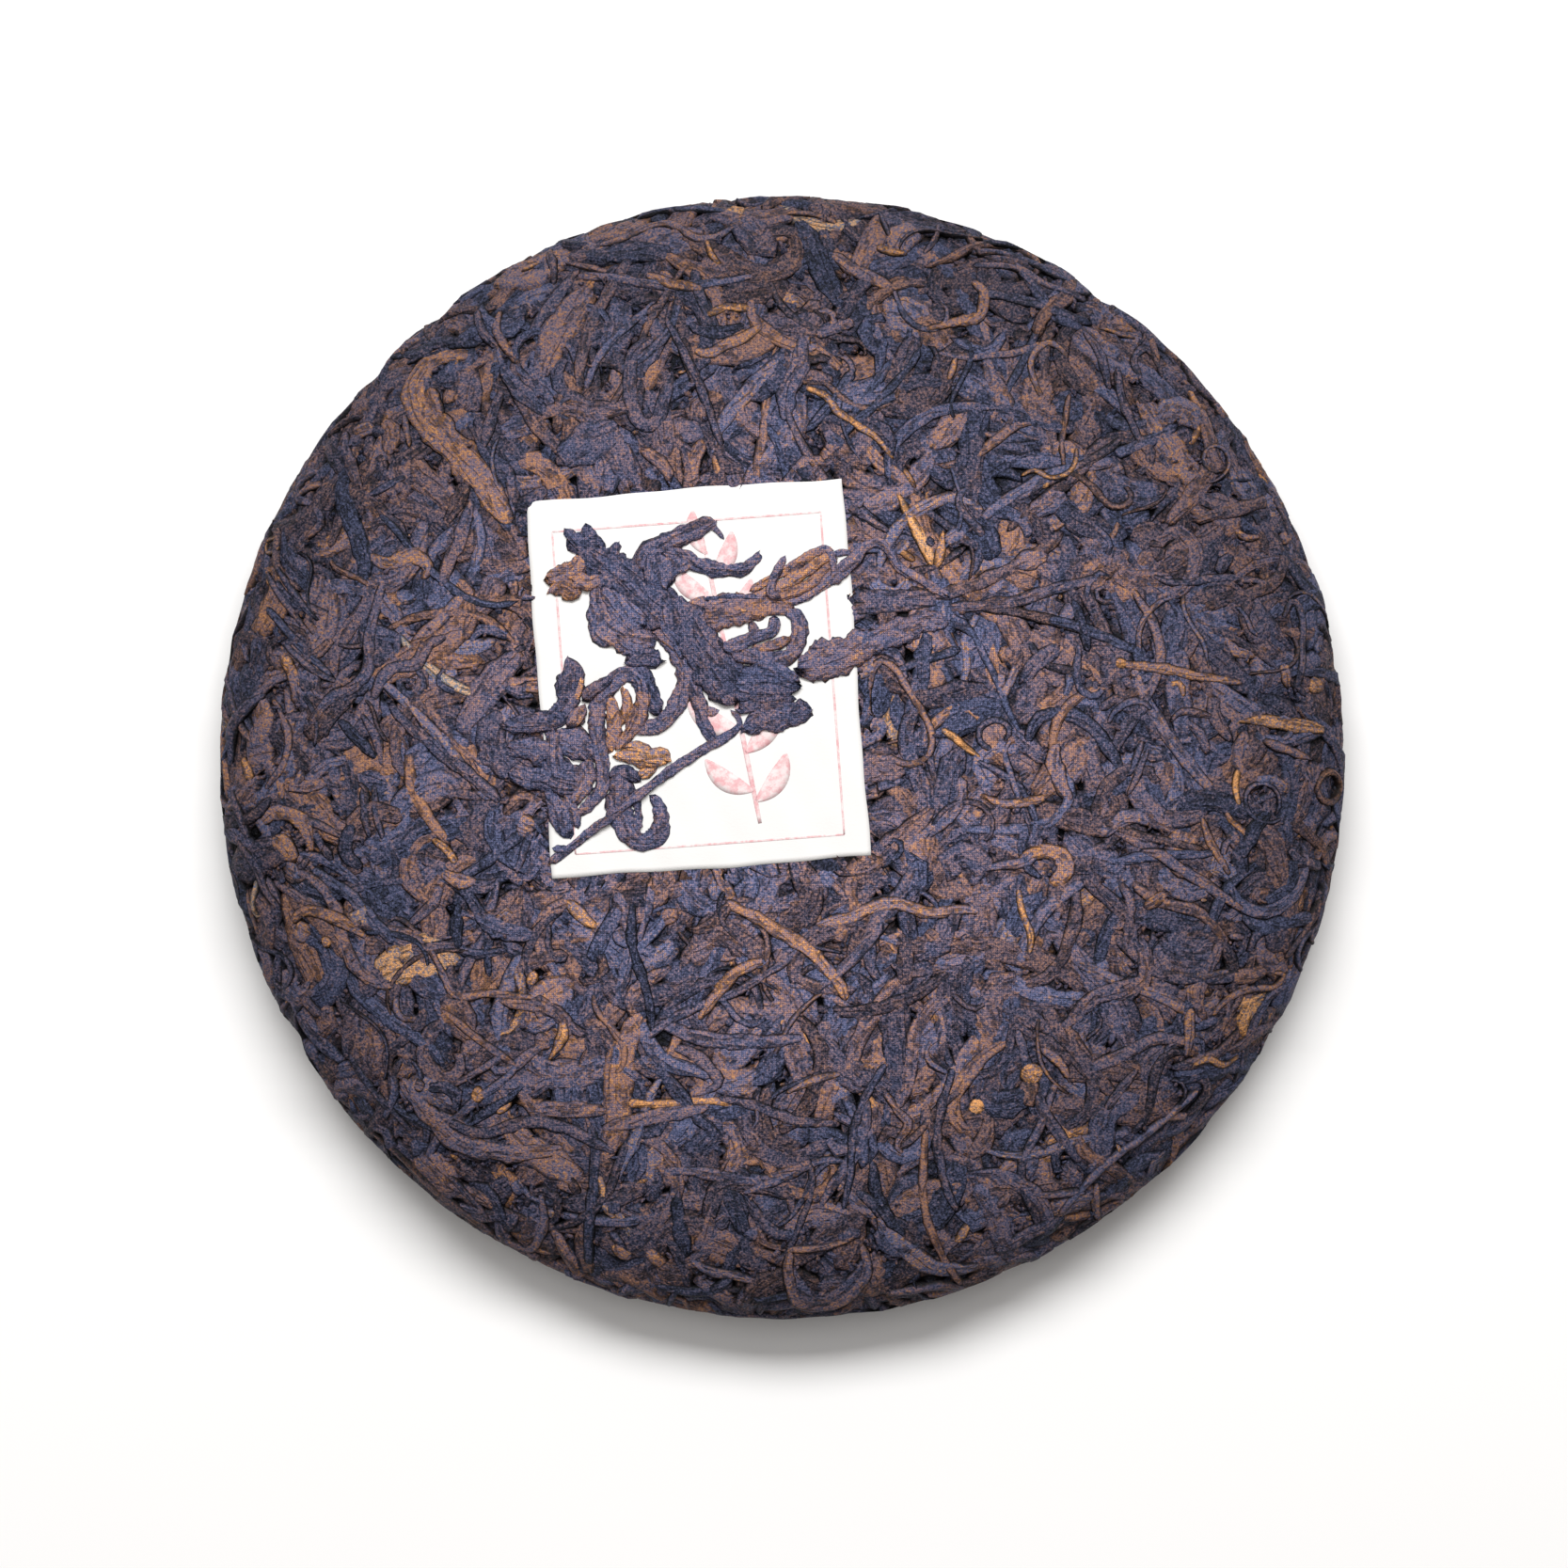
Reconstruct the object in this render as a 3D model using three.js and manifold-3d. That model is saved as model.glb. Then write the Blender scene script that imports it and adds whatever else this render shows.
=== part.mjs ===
// A pressed tea cake: a low round dome of pressed leaves with a knot hollow in its underside,
// a paper ticket sunk in its top, and the leaves and stems that were pressed over the ticket.
// Millimetres, +Z up. The origin is the middle of the plane that the cake rests on.

import * as THREE from 'three';
import { mergeVertices } from 'three/addons/utils/BufferGeometryUtils.js';
import Module from 'manifold-3d';

const wasm = await Module();
wasm.setup();

// Driving sizes of the cake
const CAKE_RADIUS = 100;
const CAKE_HEIGHT = 24;
const EQUATOR_HEIGHT = 10;
const HOLLOW_RADIUS = 30;
const HOLLOW_DEPTH = 12.5;
const CORE_SINK = 0.9;
const CORE_SEGMENTS = 44;
const CORE_RINGS = 18;
const CORE_UNEVEN = 0.3;

// Driving sizes of the ticket: its middle, its turn and its paper
const TICKET = { x: -14.8, y: 13.8, wide: 55.8, high: 66.4, turn: 4.2, thick: 0.4, sink: 0.9 };
const GAP = 0.3;
const RECESS_RISE = 6;

// Leaves over the ticket: how thick they are, how far one that crosses another is lifted, and
// the room that the cake leaves round those that reach past the ticket
const LEAF_THICK = 0.8;
const CROSSING = 1.15;
const LEAF_GAP = 0.45;

// The pressed leaves of each zone: where it begins and ends on the outline, from the hollow's
// middle (0) to the top's middle (1), how many leaves it has, the length and width of its largest
// and smallest leaf, and how far a leaf may turn from running round the cake
const ZONES = [
  { name: 'top', from: 0.535, to: 0.965, count: 72, long: [34, 15], wide: [6.6, 3.0], turn: 1.5 },
  { name: 'rim', from: 0.435, to: 0.53, count: 26, long: [30, 14], wide: [5.0, 2.8], turn: 0.5 },
  { name: 'base', from: 0.12, to: 0.43, count: 32, long: [30, 15], wide: [7.0, 3.4], turn: 1.5 },
];
const LEAF_HEIGHT = 2.0;
const REST_LEAF = { radius: 61, long: 24, wide: 10 };

// How much wider the flat-topped section of a four-sided leaf is than a diamond's half width
const SQUARED = 1.25;

// The slab below the resting plane that cuts the base flat
const FLOOR_SLAB = { wide: 3 * CAKE_RADIUS, thick: 20 };

const COLOURS = {
  cake: 0x54484f,
  ticket: 0xfbf9f6,
  dark: 0x4a4048,
  brown: 0x6d5752,
  gold: 0xa5825f,
};

// Outline of the cake, from the middle of the hollow round the rim to the middle of the top
function cakeOutline() {
  const R = CAKE_RADIUS;
  const top = CAKE_HEIGHT;
  const points = [
    [0, HOLLOW_DEPTH],
    [0.36 * HOLLOW_RADIUS, 0.95 * HOLLOW_DEPTH],
    [0.66 * HOLLOW_RADIUS, 0.70 * HOLLOW_DEPTH],
    [HOLLOW_RADIUS, 0.24 * HOLLOW_DEPTH],
    [0.42 * R, 0.02 * top],
    [0.60 * R, 0],
    [0.76 * R, 0.015 * top],
    [0.88 * R, 0.25 * EQUATOR_HEIGHT],
    [0.965 * R, 0.62 * EQUATOR_HEIGHT],
    [0.996 * R, EQUATOR_HEIGHT],
    [0.975 * R, 0.62 * top],
    [0.91 * R, 0.77 * top],
    [0.80 * R, 0.87 * top],
    [0.60 * R, 0.95 * top],
    [0.30 * R, 0.99 * top],
    [0, top],
  ];
  return new THREE.SplineCurve(points.map(([r, z]) => new THREE.Vector2(r, z)));
}

const outline = cakeOutline();

// Seeded share between 0 and 1 for piece i, one for each use k
function share(i, k) {
  const v = Math.sin(i * 12.9898 + k * 78.233) * 43758.5453;
  return v - Math.floor(v);
}

function mix(pair, t) {
  return pair[0] + (pair[1] - pair[0]) * t;
}

// Point and outward normal of the cake's surface at a share of the outline and an angle
function onCake(along, angle, lift = 0) {
  const p = outline.getPointAt(along);
  const t = outline.getTangentAt(along);
  const out = new THREE.Vector3(Math.cos(angle), Math.sin(angle), 0);
  const normal = out.clone().multiplyScalar(t.y);
  normal.z = -t.x;
  const place = out.multiplyScalar(p.x);
  place.z = p.y;
  return { place: place.addScaledVector(normal, lift), normal };
}

// Height of the nominal top at a radius, found on the outline's upper half
function topHeight(radius) {
  let low = 0.55;
  let high = 1;
  for (let i = 0; i < 30; i += 1) {
    const middle = (low + high) / 2;
    if (outline.getPointAt(middle).x > radius) {
      low = middle;
    } else {
      high = middle;
    }
  }
  return outline.getPointAt(low).y;
}

// Point over the top of the cake, with the normal of the dome there
function overTop(x, y, lift) {
  const radius = Math.hypot(x, y);
  const rise = topHeight(radius + 0.5) - topHeight(Math.max(radius - 0.5, 0));
  const normal = new THREE.Vector3(0, 0, 1);
  if (radius > 1) normal.set((-rise * x) / radius, (-rise * y) / radius, 1).normalize();
  return { place: new THREE.Vector3(x, y, topHeight(radius) + lift), normal };
}

// Closed geometry to a solid: shared vertices merged, flattened triangles at poles dropped
function toSolid(geometry) {
  geometry.deleteAttribute('normal');
  geometry.deleteAttribute('uv');
  const merged = mergeVertices(geometry, 1e-4);
  const index = merged.index.array;
  const kept = [];
  for (let i = 0; i < index.length; i += 3) {
    const [a, b, c] = [index[i], index[i + 1], index[i + 2]];
    if (a !== b && b !== c && c !== a) kept.push(a, b, c);
  }
  const mesh = new wasm.Mesh({
    numProp: 3,
    vertProperties: new Float32Array(merged.attributes.position.array),
    triVerts: new Uint32Array(kept),
  });
  return new wasm.Manifold(mesh);
}

function toMesh(name, body, colour, roughness = 0.85) {
  const { vertProperties, triVerts } = body.getMesh();
  const geometry = new THREE.BufferGeometry();
  geometry.setAttribute('position', new THREE.BufferAttribute(vertProperties, 3));
  geometry.setIndex(new THREE.BufferAttribute(triVerts, 1));
  geometry.computeVertexNormals();
  const material = new THREE.MeshStandardMaterial({ color: colour, roughness, metalness: 0 });
  const mesh = new THREE.Mesh(geometry, material);
  mesh.name = name;
  return mesh;
}

function joined(bodies) {
  return bodies.slice(1).reduce((whole, body) => whole.add(body), bodies[0]);
}

// The one body that counts, without loose scraps or sealed pockets
function largestBody(body) {
  const parts = body.decompose();
  parts.sort((a, b) => b.volume() - a.volume());
  return parts[0];
}

// A leaf, stem or bud: a sphere drawn out along a path on the cake, flattened to its thickness.
// grow widens it all round, which makes the room that a neighbour leaves for it.
function leaf(stations, wide, thick, { sides = 6, rows = 7, taper = 0.5, roll = 0, grow = 0 } = {}) {
  const path = new THREE.CatmullRomCurve3(stations.map((s) => s.place));
  const normals = new THREE.CatmullRomCurve3(stations.map((s) => s.normal));
  const widths = Array.isArray(wide) ? wide : [wide, wide];
  const geometry = new THREE.SphereGeometry(1, sides, rows);
  if (sides === 4) geometry.rotateY(Math.PI / sides).scale(SQUARED, 1, SQUARED);
  const position = geometry.attributes.position;
  for (let i = 0; i < position.count; i += 1) {
    const [x, y, z] = [position.getX(i), position.getY(i), position.getZ(i)];
    const t = Math.acos(THREE.MathUtils.clamp(y, -1, 1)) / Math.PI;
    const ring = Math.max(Math.sin(t * Math.PI), 1e-6);
    const blunt = ring ** taper / ring;
    const tangent = path.getTangent(t);
    const normal = normals.getPoint(t).normalize();
    const side = new THREE.Vector3().crossVectors(normal, tangent).normalize();
    normal.crossVectors(tangent, side);
    const turn = roll * (t - 0.5);
    const across = (mix(widths, t) / 2 + grow) * blunt;
    const through = (thick / 2 + grow) * blunt;
    const u = x * across * Math.cos(turn) - z * through * Math.sin(turn);
    const v = x * across * Math.sin(turn) + z * through * Math.cos(turn);
    const point = path.getPoint(t).addScaledVector(side, u).addScaledVector(normal, v);
    point.addScaledVector(tangent, -y * grow);
    position.setXYZ(i, point.x, point.y, point.z);
  }
  return toSolid(geometry);
}

// The core: the outline turned round, sunk below the leaves, and slightly uneven
function cakeCore() {
  const profile = [];
  for (let i = 0; i <= CORE_RINGS; i += 1) {
    const along = i / CORE_RINGS;
    const p = outline.getPointAt(along);
    const t = outline.getTangentAt(along);
    const onAxis = i === 0 || i === CORE_RINGS;
    const r = onAxis ? 0 : p.x - t.y * CORE_SINK;
    profile.push(new THREE.Vector2(r, p.y + t.x * CORE_SINK));
  }
  const geometry = new THREE.LatheGeometry(profile, CORE_SEGMENTS);
  geometry.rotateX(Math.PI / 2);
  const position = geometry.attributes.position;
  for (let i = 0; i < position.count; i += 1) {
    const [x, y, z] = [position.getX(i), position.getY(i), position.getZ(i)];
    const ripple = Math.sin(x * 0.31 + z * 0.2) * Math.sin(y * 0.27 + 1.1);
    const wave = ripple * Math.sin((x - y) * 0.17 + 2);
    const radius = Math.hypot(x, y);
    const inward = radius > 1 ? (CORE_UNEVEN * wave) / radius : 0;
    const down = z > CAKE_HEIGHT / 2 ? CORE_UNEVEN * wave : 0;
    position.setXYZ(i, x * (1 - inward), y * (1 - inward), z + down);
  }
  return toSolid(geometry);
}

// Path of one pressed leaf: from its middle it runs both ways over the surface, slightly bent
function pressedPath(along, angle, heading, long, bend, lift) {
  const total = outline.getLength();
  const steps = 4;
  const stations = [];
  for (let i = -steps / 2; i <= steps / 2; i += 1) {
    const run = (i / steps) * long;
    const direction = heading + bend * (i / steps);
    const radius = Math.max(outline.getPointAt(along).x, 8);
    const climbed = along + (Math.sin(direction) * run) / total;
    const turned = angle + (Math.cos(direction) * run) / radius;
    stations.push(onCake(THREE.MathUtils.clamp(climbed, 0.02, 0.985), turned, lift));
  }
  return stations;
}

// Share of the outline whose turned area is a given share of the zone's area
function areaSteps(zone, cells = 60) {
  const sums = [0];
  for (let i = 0; i < cells; i += 1) {
    const middle = mix([zone.from, zone.to], (i + 0.5) / cells);
    sums.push(sums[i] + outline.getPointAt(middle).x);
  }
  return (part) => {
    const wanted = part * sums[cells];
    const i = sums.findIndex((sum) => sum >= wanted);
    return mix([zone.from, zone.to], Math.max(i, 0) / cells);
  };
}

const GOLDEN_ANGLE = Math.PI * (3 - Math.sqrt(5));

// All pressed leaves of a zone, spread evenly by the golden angle
function pressedLeaves(zone, seed) {
  const place = areaSteps(zone);
  const leaves = [];
  for (let i = 0; i < zone.count; i += 1) {
    const n = i + seed;
    const along = place((i + 0.5) / zone.count);
    const size = share(n, 1) ** 1.3;
    const heading = (share(n, 2) - 0.5) * 2 * zone.turn;
    const bend = (share(n, 3) - 0.5) * 2.2;
    const long = mix(zone.long, size);
    const wide = mix(zone.wide, size);
    const lift = -CORE_SINK + 0.25 * share(n, 4);
    const stations = pressedPath(along, i * GOLDEN_ANGLE, heading, long, bend, lift);
    const options = { sides: 4, rows: 5, taper: 0.4, roll: (share(n, 5) - 0.5) * 0.5 };
    leaves.push(leaf(stations, [wide, wide * (0.6 + 0.4 * share(n, 6))], LEAF_HEIGHT, options));
  }
  return leaves;
}

// The broad leaf in the base ring that carries the rest point
function restLeaf() {
  const { radius, long, wide } = REST_LEAF;
  const half = long / 2 / radius;
  const stations = [-half, 0, half].map((angle) => ({
    place: new THREE.Vector3(radius * Math.cos(angle), radius * Math.sin(angle), CORE_SINK),
    normal: new THREE.Vector3(0, 0, 1),
  }));
  return leaf(stations, wide, 2 * LEAF_HEIGHT, { taper: 0.3 });
}

// The ticket, bent over the dome; grow and rise turn it into the recess that the cake leaves
function ticket(grow = 0, rise = 0) {
  const wide = TICKET.wide + 2 * grow;
  const high = TICKET.high + 2 * grow;
  const geometry = new THREE.BoxGeometry(wide, high, 1, 6, 7, 1);
  const turn = THREE.MathUtils.degToRad(TICKET.turn);
  const position = geometry.attributes.position;
  for (let i = 0; i < position.count; i += 1) {
    const [u, v] = [position.getX(i), position.getY(i)];
    const x = TICKET.x + u * Math.cos(turn) - v * Math.sin(turn);
    const y = TICKET.y + u * Math.sin(turn) + v * Math.cos(turn);
    const upper = position.getZ(i) > 0;
    const from = -TICKET.sink + (upper ? TICKET.thick / 2 + rise : -TICKET.thick / 2 - grow);
    position.setXYZ(i, x, y, topHeight(Math.hypot(x, y)) + from);
  }
  return toSolid(geometry);
}

// Leaves over the ticket. Each strand is a path of [x, y, layer] with its width from one end to
// the other; layer 1 passes over what it crosses. Strands of one leaf are joined.
const OVER_TICKET = {
  leaf_twisted: {
    tone: 'dark',
    strands: [[[5.2, 4.6], [[-36.8, 39.8], [-31.6, 35.1], [-26.5, 30.5], [-22.6, 26.4], [-20.3, 23.6]]]],
  },
  leaf_band: {
    tone: 'dark',
    strands: [[[5.6, 5.6], [[-18.1, 27.8, 1], [-17, 22.4, 1], [-13.2, 16.4, 1], [-8.4, 10.9, 1]]]],
  },
  leaf_fan: {
    tone: 'dark',
    strands: [[[8.6, 6.6], [[-13.2, 9.6], [-7, 10.4], [-1, 10.6], [4, 10.2]]]],
  },
  leaf_curled: {
    tone: 'gold',
    strands: [
      [[4, 3], [[-40.6, 29.8], [-38, 31.2], [-35.6, 33]]],
      [[3.2, 2.4], [[-38.6, 31], [-36.8, 29.4], [-36.4, 27.8]]],
    ],
  },
  leaf_folded: {
    tone: 'brown',
    strands: [[[4.6, 3.6], [[-31.8, 28.2], [-31, 24.6], [-27.4, 21.6], [-24.8, 21.2]]]],
  },
  leaf_forked: {
    tone: 'dark',
    strands: [
      [[2.8, 2.4], [[-11.6, 41], [-16.2, 39.2], [-20.8, 37.1], [-23.2, 34.6]]],
      [[2.2, 1.8], [[-20.8, 36.6], [-16.2, 34.6], [-12.1, 32.3], [-8, 32.3], [-5.2, 34.6]]],
      [[2.6, 2.2], [[-21.8, 36.8], [-20.4, 31.4], [-18.6, 31], [-16, 34.2]]],
    ],
  },
  leaf_veined: {
    tone: 'brown',
    strands: [[[3.6, 3], [[-13.8, 26.4], [-10.1, 26.6], [-5.5, 25.8], [-1.2, 26.2]]]],
  },
  leaf_bundle: {
    tone: 'gold',
    strands: [
      [[3, 4.2], [[-4.6, 29.2], [0.7, 30.8], [4.8, 33], [8.6, 35]]],
      [[1.6, 1.2], [[4.6, 33.4], [6.4, 36], [9, 36.4], [12, 35.9]]],
    ],
  },
  stem_hook: {
    tone: 'brown',
    strands: [[[1.4, 1.2], [[0.4, 35.4], [-1, 32.6, 1], [-1.9, 29.4, 1], [-0.6, 27.4, 1]]]],
  },
  leaf_ring: {
    tone: 'dark',
    strands: [
      [[2.7, 2.4], [[1.6, 26], [3.2, 22.8], [2.6, 19.4], [-1, 17.6], [-6.8, 18.2]]],
      [[2, 1.8], [[-5.4, 23.2], [-4, 21.4], [-2.2, 22], [-0.4, 20.4], [1.8, 20.6]]],
    ],
  },
  leaf_blunt: {
    tone: 'brown',
    strands: [
      [[6.2, 3.8], [[5.4, 16.4], [8.8, 18], [12.5, 19.2], [17.6, 20.7], [22.2, 22.8], [26.6, 24.3]]],
    ],
  },
  stem_long: {
    tone: 'dark',
    strands: [
      [[1.6, 1.4], [[-39.4, -17.4], [-30.1, -10.3, 1], [-21.4, -3.9, 1], [-14.2, 0.7, 0.4], [-9.4, 3.4]]],
    ],
  },
  leaf_hook: {
    tone: 'brown',
    strands: [
      [[3.2, 2.6], [[-28, -4.4], [-28, -10.1], [-25, -14.5], [-21.9, -13.4], [-21.6, -9.6], [-22.8, -7.6]]],
    ],
  },
  bud_gold: { tone: 'gold', strands: [[[3.6, 2.6], [[-27.4, 0.6], [-24, 0.6], [-20.4, 0.2]]]] },
  leaf_arch: {
    tone: 'brown',
    strands: [
      [[2.4, 2.4], [[-35, -9], [-32.3, -6], [-31.9, -1], [-32.1, 4.6], [-30.8, 11.3]]],
      [[2.4, 2], [[-31.4, 10.4], [-28, 13.6], [-25, 12.4], [-25.8, 7], [-28.4, 3.2]]],
    ],
  },
  blade_gold: { tone: 'gold', strands: [[[1.7, 1.5], [[-29, 9.2], [-29.6, 5.4], [-29.9, 1.2]]]] },
  leaf_corner: {
    tone: 'dark',
    strands: [[[3.6, 3], [[-37, 16.8], [-37.4, 12], [-39.6, 7.2], [-43, 6.2], [-47.5, 6.4]]]],
  },
  leaf_slip: {
    tone: 'brown',
    strands: [[[2.2, 2], [[-35.6, 9.6], [-33.4, 11.4, 1], [-30.6, 13.6, 1], [-28.6, 15.4, 1]]]],
  },
  leaf_crumpled: {
    tone: 'brown',
    strands: [
      [[4, 3.4], [[-46.5, 2.6], [-41, 2.4], [-37.4, 1.4], [-34.6, 2.2]]],
      [[4.6, 3.4], [[-47, -2.6], [-42, -1.4], [-38, -2.6], [-35, -4.4]]],
      [[3, 3], [[-40, 2], [-38.6, 0], [-38.6, -3]]],
    ],
  },
  leaf_streaked: {
    tone: 'brown',
    strands: [[[2.6, 2.4], [[-23.4, 20], [-20.2, 18], [-18, 14.6], [-18.4, 10.4], [-21, 6.6], [-25, 5]]]],
  },
  leaf_strip: {
    tone: 'dark',
    strands: [[[2.2, 2], [[-15.6, 13.2], [-15.6, 9], [-14.6, 5.6], [-13.4, 3.4]]]],
  },
  leaf_short: { tone: 'brown', strands: [[[2.2, 1.8], [[-39.6, -7.6], [-38.4, -10.4], [-36.8, -13]]]] },
};

// Height of a layer-0 leaf's middle over the dome: on the ticket, clear of it by the gap
const OVER_LIFT = -TICKET.sink + TICKET.thick / 2 + GAP + LEAF_THICK / 2;

function overTicketLeaf(spec, grow = 0) {
  const strands = spec.strands.map(([widths, points]) => {
    const stations = points.map(([x, y, layer = 0]) => overTop(x, y, OVER_LIFT + layer * CROSSING));
    const rows = points.length > 4 ? 8 : 6;
    return leaf(stations, widths, LEAF_THICK, { rows, grow });
  });
  return joined(strands);
}

// The cake: core and pressed leaves joined, the ticket's recess and the room for the leaves
// over it taken out, and the base cut flat where it rests
function cake() {
  const pieces = [cakeCore(), restLeaf()];
  ZONES.forEach((zone, k) => pieces.push(...pressedLeaves(zone, 1000 * k)));
  let body = joined(pieces).subtract(ticket(GAP, RECESS_RISE));
  for (const spec of Object.values(OVER_TICKET)) {
    body = body.subtract(overTicketLeaf(spec, LEAF_GAP));
  }
  const { wide, thick } = FLOOR_SLAB;
  const slab = new THREE.BoxGeometry(wide, wide, thick).translate(0, 0, -thick / 2);
  return largestBody(body.subtract(toSolid(slab)));
}

const group = new THREE.Group();
group.add(toMesh('tea_cake', cake(), COLOURS.cake));
group.add(toMesh('paper_ticket', ticket(), COLOURS.ticket, 0.9));
for (const [name, spec] of Object.entries(OVER_TICKET)) {
  group.add(toMesh(name, overTicketLeaf(spec), COLOURS[spec.tone]));
}

export default group;
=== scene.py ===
"""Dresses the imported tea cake: its pressed leaves, its paper ticket, the leaves over it and a stage."""

import math

import bpy
import numpy as np
from bpy.props import FloatProperty, FloatVectorProperty, IntProperty, PointerProperty
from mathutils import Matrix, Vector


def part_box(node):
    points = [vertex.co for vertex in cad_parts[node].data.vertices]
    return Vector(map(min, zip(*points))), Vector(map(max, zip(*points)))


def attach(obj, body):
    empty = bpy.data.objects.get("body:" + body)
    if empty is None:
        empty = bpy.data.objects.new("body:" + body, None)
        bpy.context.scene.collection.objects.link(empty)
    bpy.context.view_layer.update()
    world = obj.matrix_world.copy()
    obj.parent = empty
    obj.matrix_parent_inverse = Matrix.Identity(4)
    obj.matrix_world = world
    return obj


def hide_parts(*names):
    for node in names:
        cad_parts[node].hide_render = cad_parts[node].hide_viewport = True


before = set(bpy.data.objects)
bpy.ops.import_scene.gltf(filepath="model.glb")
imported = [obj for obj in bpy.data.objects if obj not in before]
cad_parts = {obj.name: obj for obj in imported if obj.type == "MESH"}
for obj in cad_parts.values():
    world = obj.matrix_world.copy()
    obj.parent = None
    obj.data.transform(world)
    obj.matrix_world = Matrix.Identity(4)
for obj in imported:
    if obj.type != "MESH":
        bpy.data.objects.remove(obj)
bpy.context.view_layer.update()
CAKE_LOW, CAKE_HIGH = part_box("tea_cake")

bl_info = {
    "name": "Pressed Tea Cake",
    "version": (1, 0, 0),
    "blender": (4, 5, 0),
    "location": "View3D > Sidebar > Tea Cake",
    "description": "Dresses a pressed tea cake with its leaves, its paper ticket and a plain stage",
    "category": "Add Mesh",
}

# Lengths in the shape code are millimetres; a finished mesh is in metres
MM = 0.001

# Shape of the cake, as its solid has it
CAKE_RADIUS = 100.0
CAKE_TOP = 24.0
EQUATOR = 10.0
HOLLOW_RADIUS = 30.0
HOLLOW_DEPTH = 12.5

# How far the solid reaches to each side, and how far inside that the leaves stay
REACH_X = (-CAKE_LOW.x / MM, CAKE_HIGH.x / MM)
REACH_Y = (-CAKE_LOW.y / MM, CAKE_HIGH.y / MM)
RIM_ROOM = 0.45

# No leaf is lower than the ground; those under the second height are flattened towards it
GROUND = 0.05
NEAR_GROUND = 0.6

# How deep under the smooth outline the core lies
CORE_DEPTH = 1.75

# Small notches in the rim: where they are and how deep
NOTCHES = [(-86, -49.5, 1.4), (-77.5, 63, 1.0), (-72.5, 68, 1.2), (-61, 79, 1.1), (56, 81, 1.0)]

# Ticket: its middle, its size, its turn, the level of its upper face and the thickness of its paper.
# Levels are counted from the smooth outline of the cake, upwards.
TICKET_MIDDLE = (-14.8, 13.8)
TICKET_SIZE = (55.8, 66.4)
TICKET_TURN = math.radians(4.2)
TICKET_LEVEL = -0.45
TICKET_THICK = 0.16

# Highest level of the leaves over the ticket
OVER_TICKET_LEVEL = 1.22

# Print on the ticket: its level, its thickness, and the distance of the rule from the edges at the
# sides, at the bottom and at the top
PRINT_LEVEL = TICKET_LEVEL + 0.015
PRINT_THICK = 0.035
RULE_INSET = (4.4, 4.2, 5.8)

# Leaves of the printed sprig: place along its stem, length and lean to one side
SPRIG = [
    (0.08, 10, -0.75),
    (0.12, 10, 0.8),
    (0.26, 11, -0.7),
    (0.34, 11, 0.85),
    (0.48, 10, -0.8),
    (0.58, 10, 0.8),
    (0.72, 10, -0.75),
    (0.82, 9.5, 0.7),
    (0.90, 9, -0.6),
    (0.99, 8, 0.1),
]

# Places across the section of a leaf, from edge to edge
ACROSS = np.array([-1.0, -0.9, -0.66, -0.34, 0.0, 0.34, 0.66, 0.9, 1.0])

# Kinds of pressed leaf: width and length, how far the edges drop below the crown, how blunt the
# ends are, how much the path curls, the count of lengthwise ridges and how boxy the section is
KINDS = {
    "broad": dict(wide=(4.5, 9.5), long=(8, 20), drop=1.15, blunt=0.42, curl=0.9, ridges=1.6, boxy=3.6),
    "rolled": dict(wide=(3.4, 6.2), long=(12, 30), drop=1.1, blunt=0.36, curl=1.2, ridges=1.3, boxy=3.2),
    "twisted": dict(wide=(2.1, 3.6), long=(10, 32), drop=1.0, blunt=0.34, curl=1.3, ridges=0.9, boxy=2.8),
    "stem": dict(wide=(1.7, 2.9), long=(14, 36), drop=1.0, blunt=0.16, curl=0.4, ridges=0.6, boxy=2.4),
    "tendril": dict(wide=(0.9, 1.9), long=(8, 24), drop=0.9, blunt=0.25, curl=1.4, ridges=0.5, boxy=2.2),
    "flake": dict(wide=(1.6, 4.0), long=(2.5, 7), drop=0.8, blunt=0.36, curl=0.9, ridges=0.8, boxy=2.8),
}

# Least width of each kind that a leaf of known place can be, from the widest down
PLACED_KINDS = (("broad", 5.5), ("rolled", 3.4), ("twisted", 1.85), ("tendril", 0.0))

# Finish of each kind: the strength of its streaks, its share of the cloth's print, its relief
LOOKS = {
    "broad": (0.8, 0.62, 0.27),
    "rolled": (0.9, 0.58, 0.28),
    "twisted": (0.9, 0.5, 0.26),
    "stem": (0.8, 0.45, 0.18),
    "tendril": (0.7, 0.25, 0.2),
    "flake": (0.7, 0.25, 0.2),
    "core": (0.5, 0.0, 0.3),
    "crumb": (0.4, 0.0, 0.2),
    "loose": (1.5, 0.6, 0.34),
}

# Layers of each side from the deepest up: the kinds with their counts, the level of their crowns
# and how much it varies. Leaves with a level of None lie on what is below them.
TOP_LAYERS = [
    (dict(broad=600), -1.35, 0.30),
    (dict(broad=420, rolled=300, twisted=100), -0.85, 0.30),
    (dict(broad=300, rolled=430, twisted=370, stem=90, tendril=70, flake=70), -0.36, 0.32),
    (dict(broad=60, rolled=150, twisted=210, stem=90, tendril=120, flake=120), None, 0.0),
]
BASE_LAYERS = [
    (dict(broad=560), -1.2, 0.30),
    (dict(broad=380, rolled=240), -0.75, 0.30),
    (dict(broad=260, rolled=200, twisted=120, stem=60), -0.32, 0.30),
    (dict(rolled=40, twisted=60, stem=40, tendril=40, flake=80), None, 0.0),
]

# Each side of the cake: its layers, how far from its middle they reach along the skin, and in how
# many cells of the grid of heights a leaf has to show to be made
SIDES = {"top": (TOP_LAYERS, 113.0, 16), "base": (BASE_LAYERS, 107.0, 45)}

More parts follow.
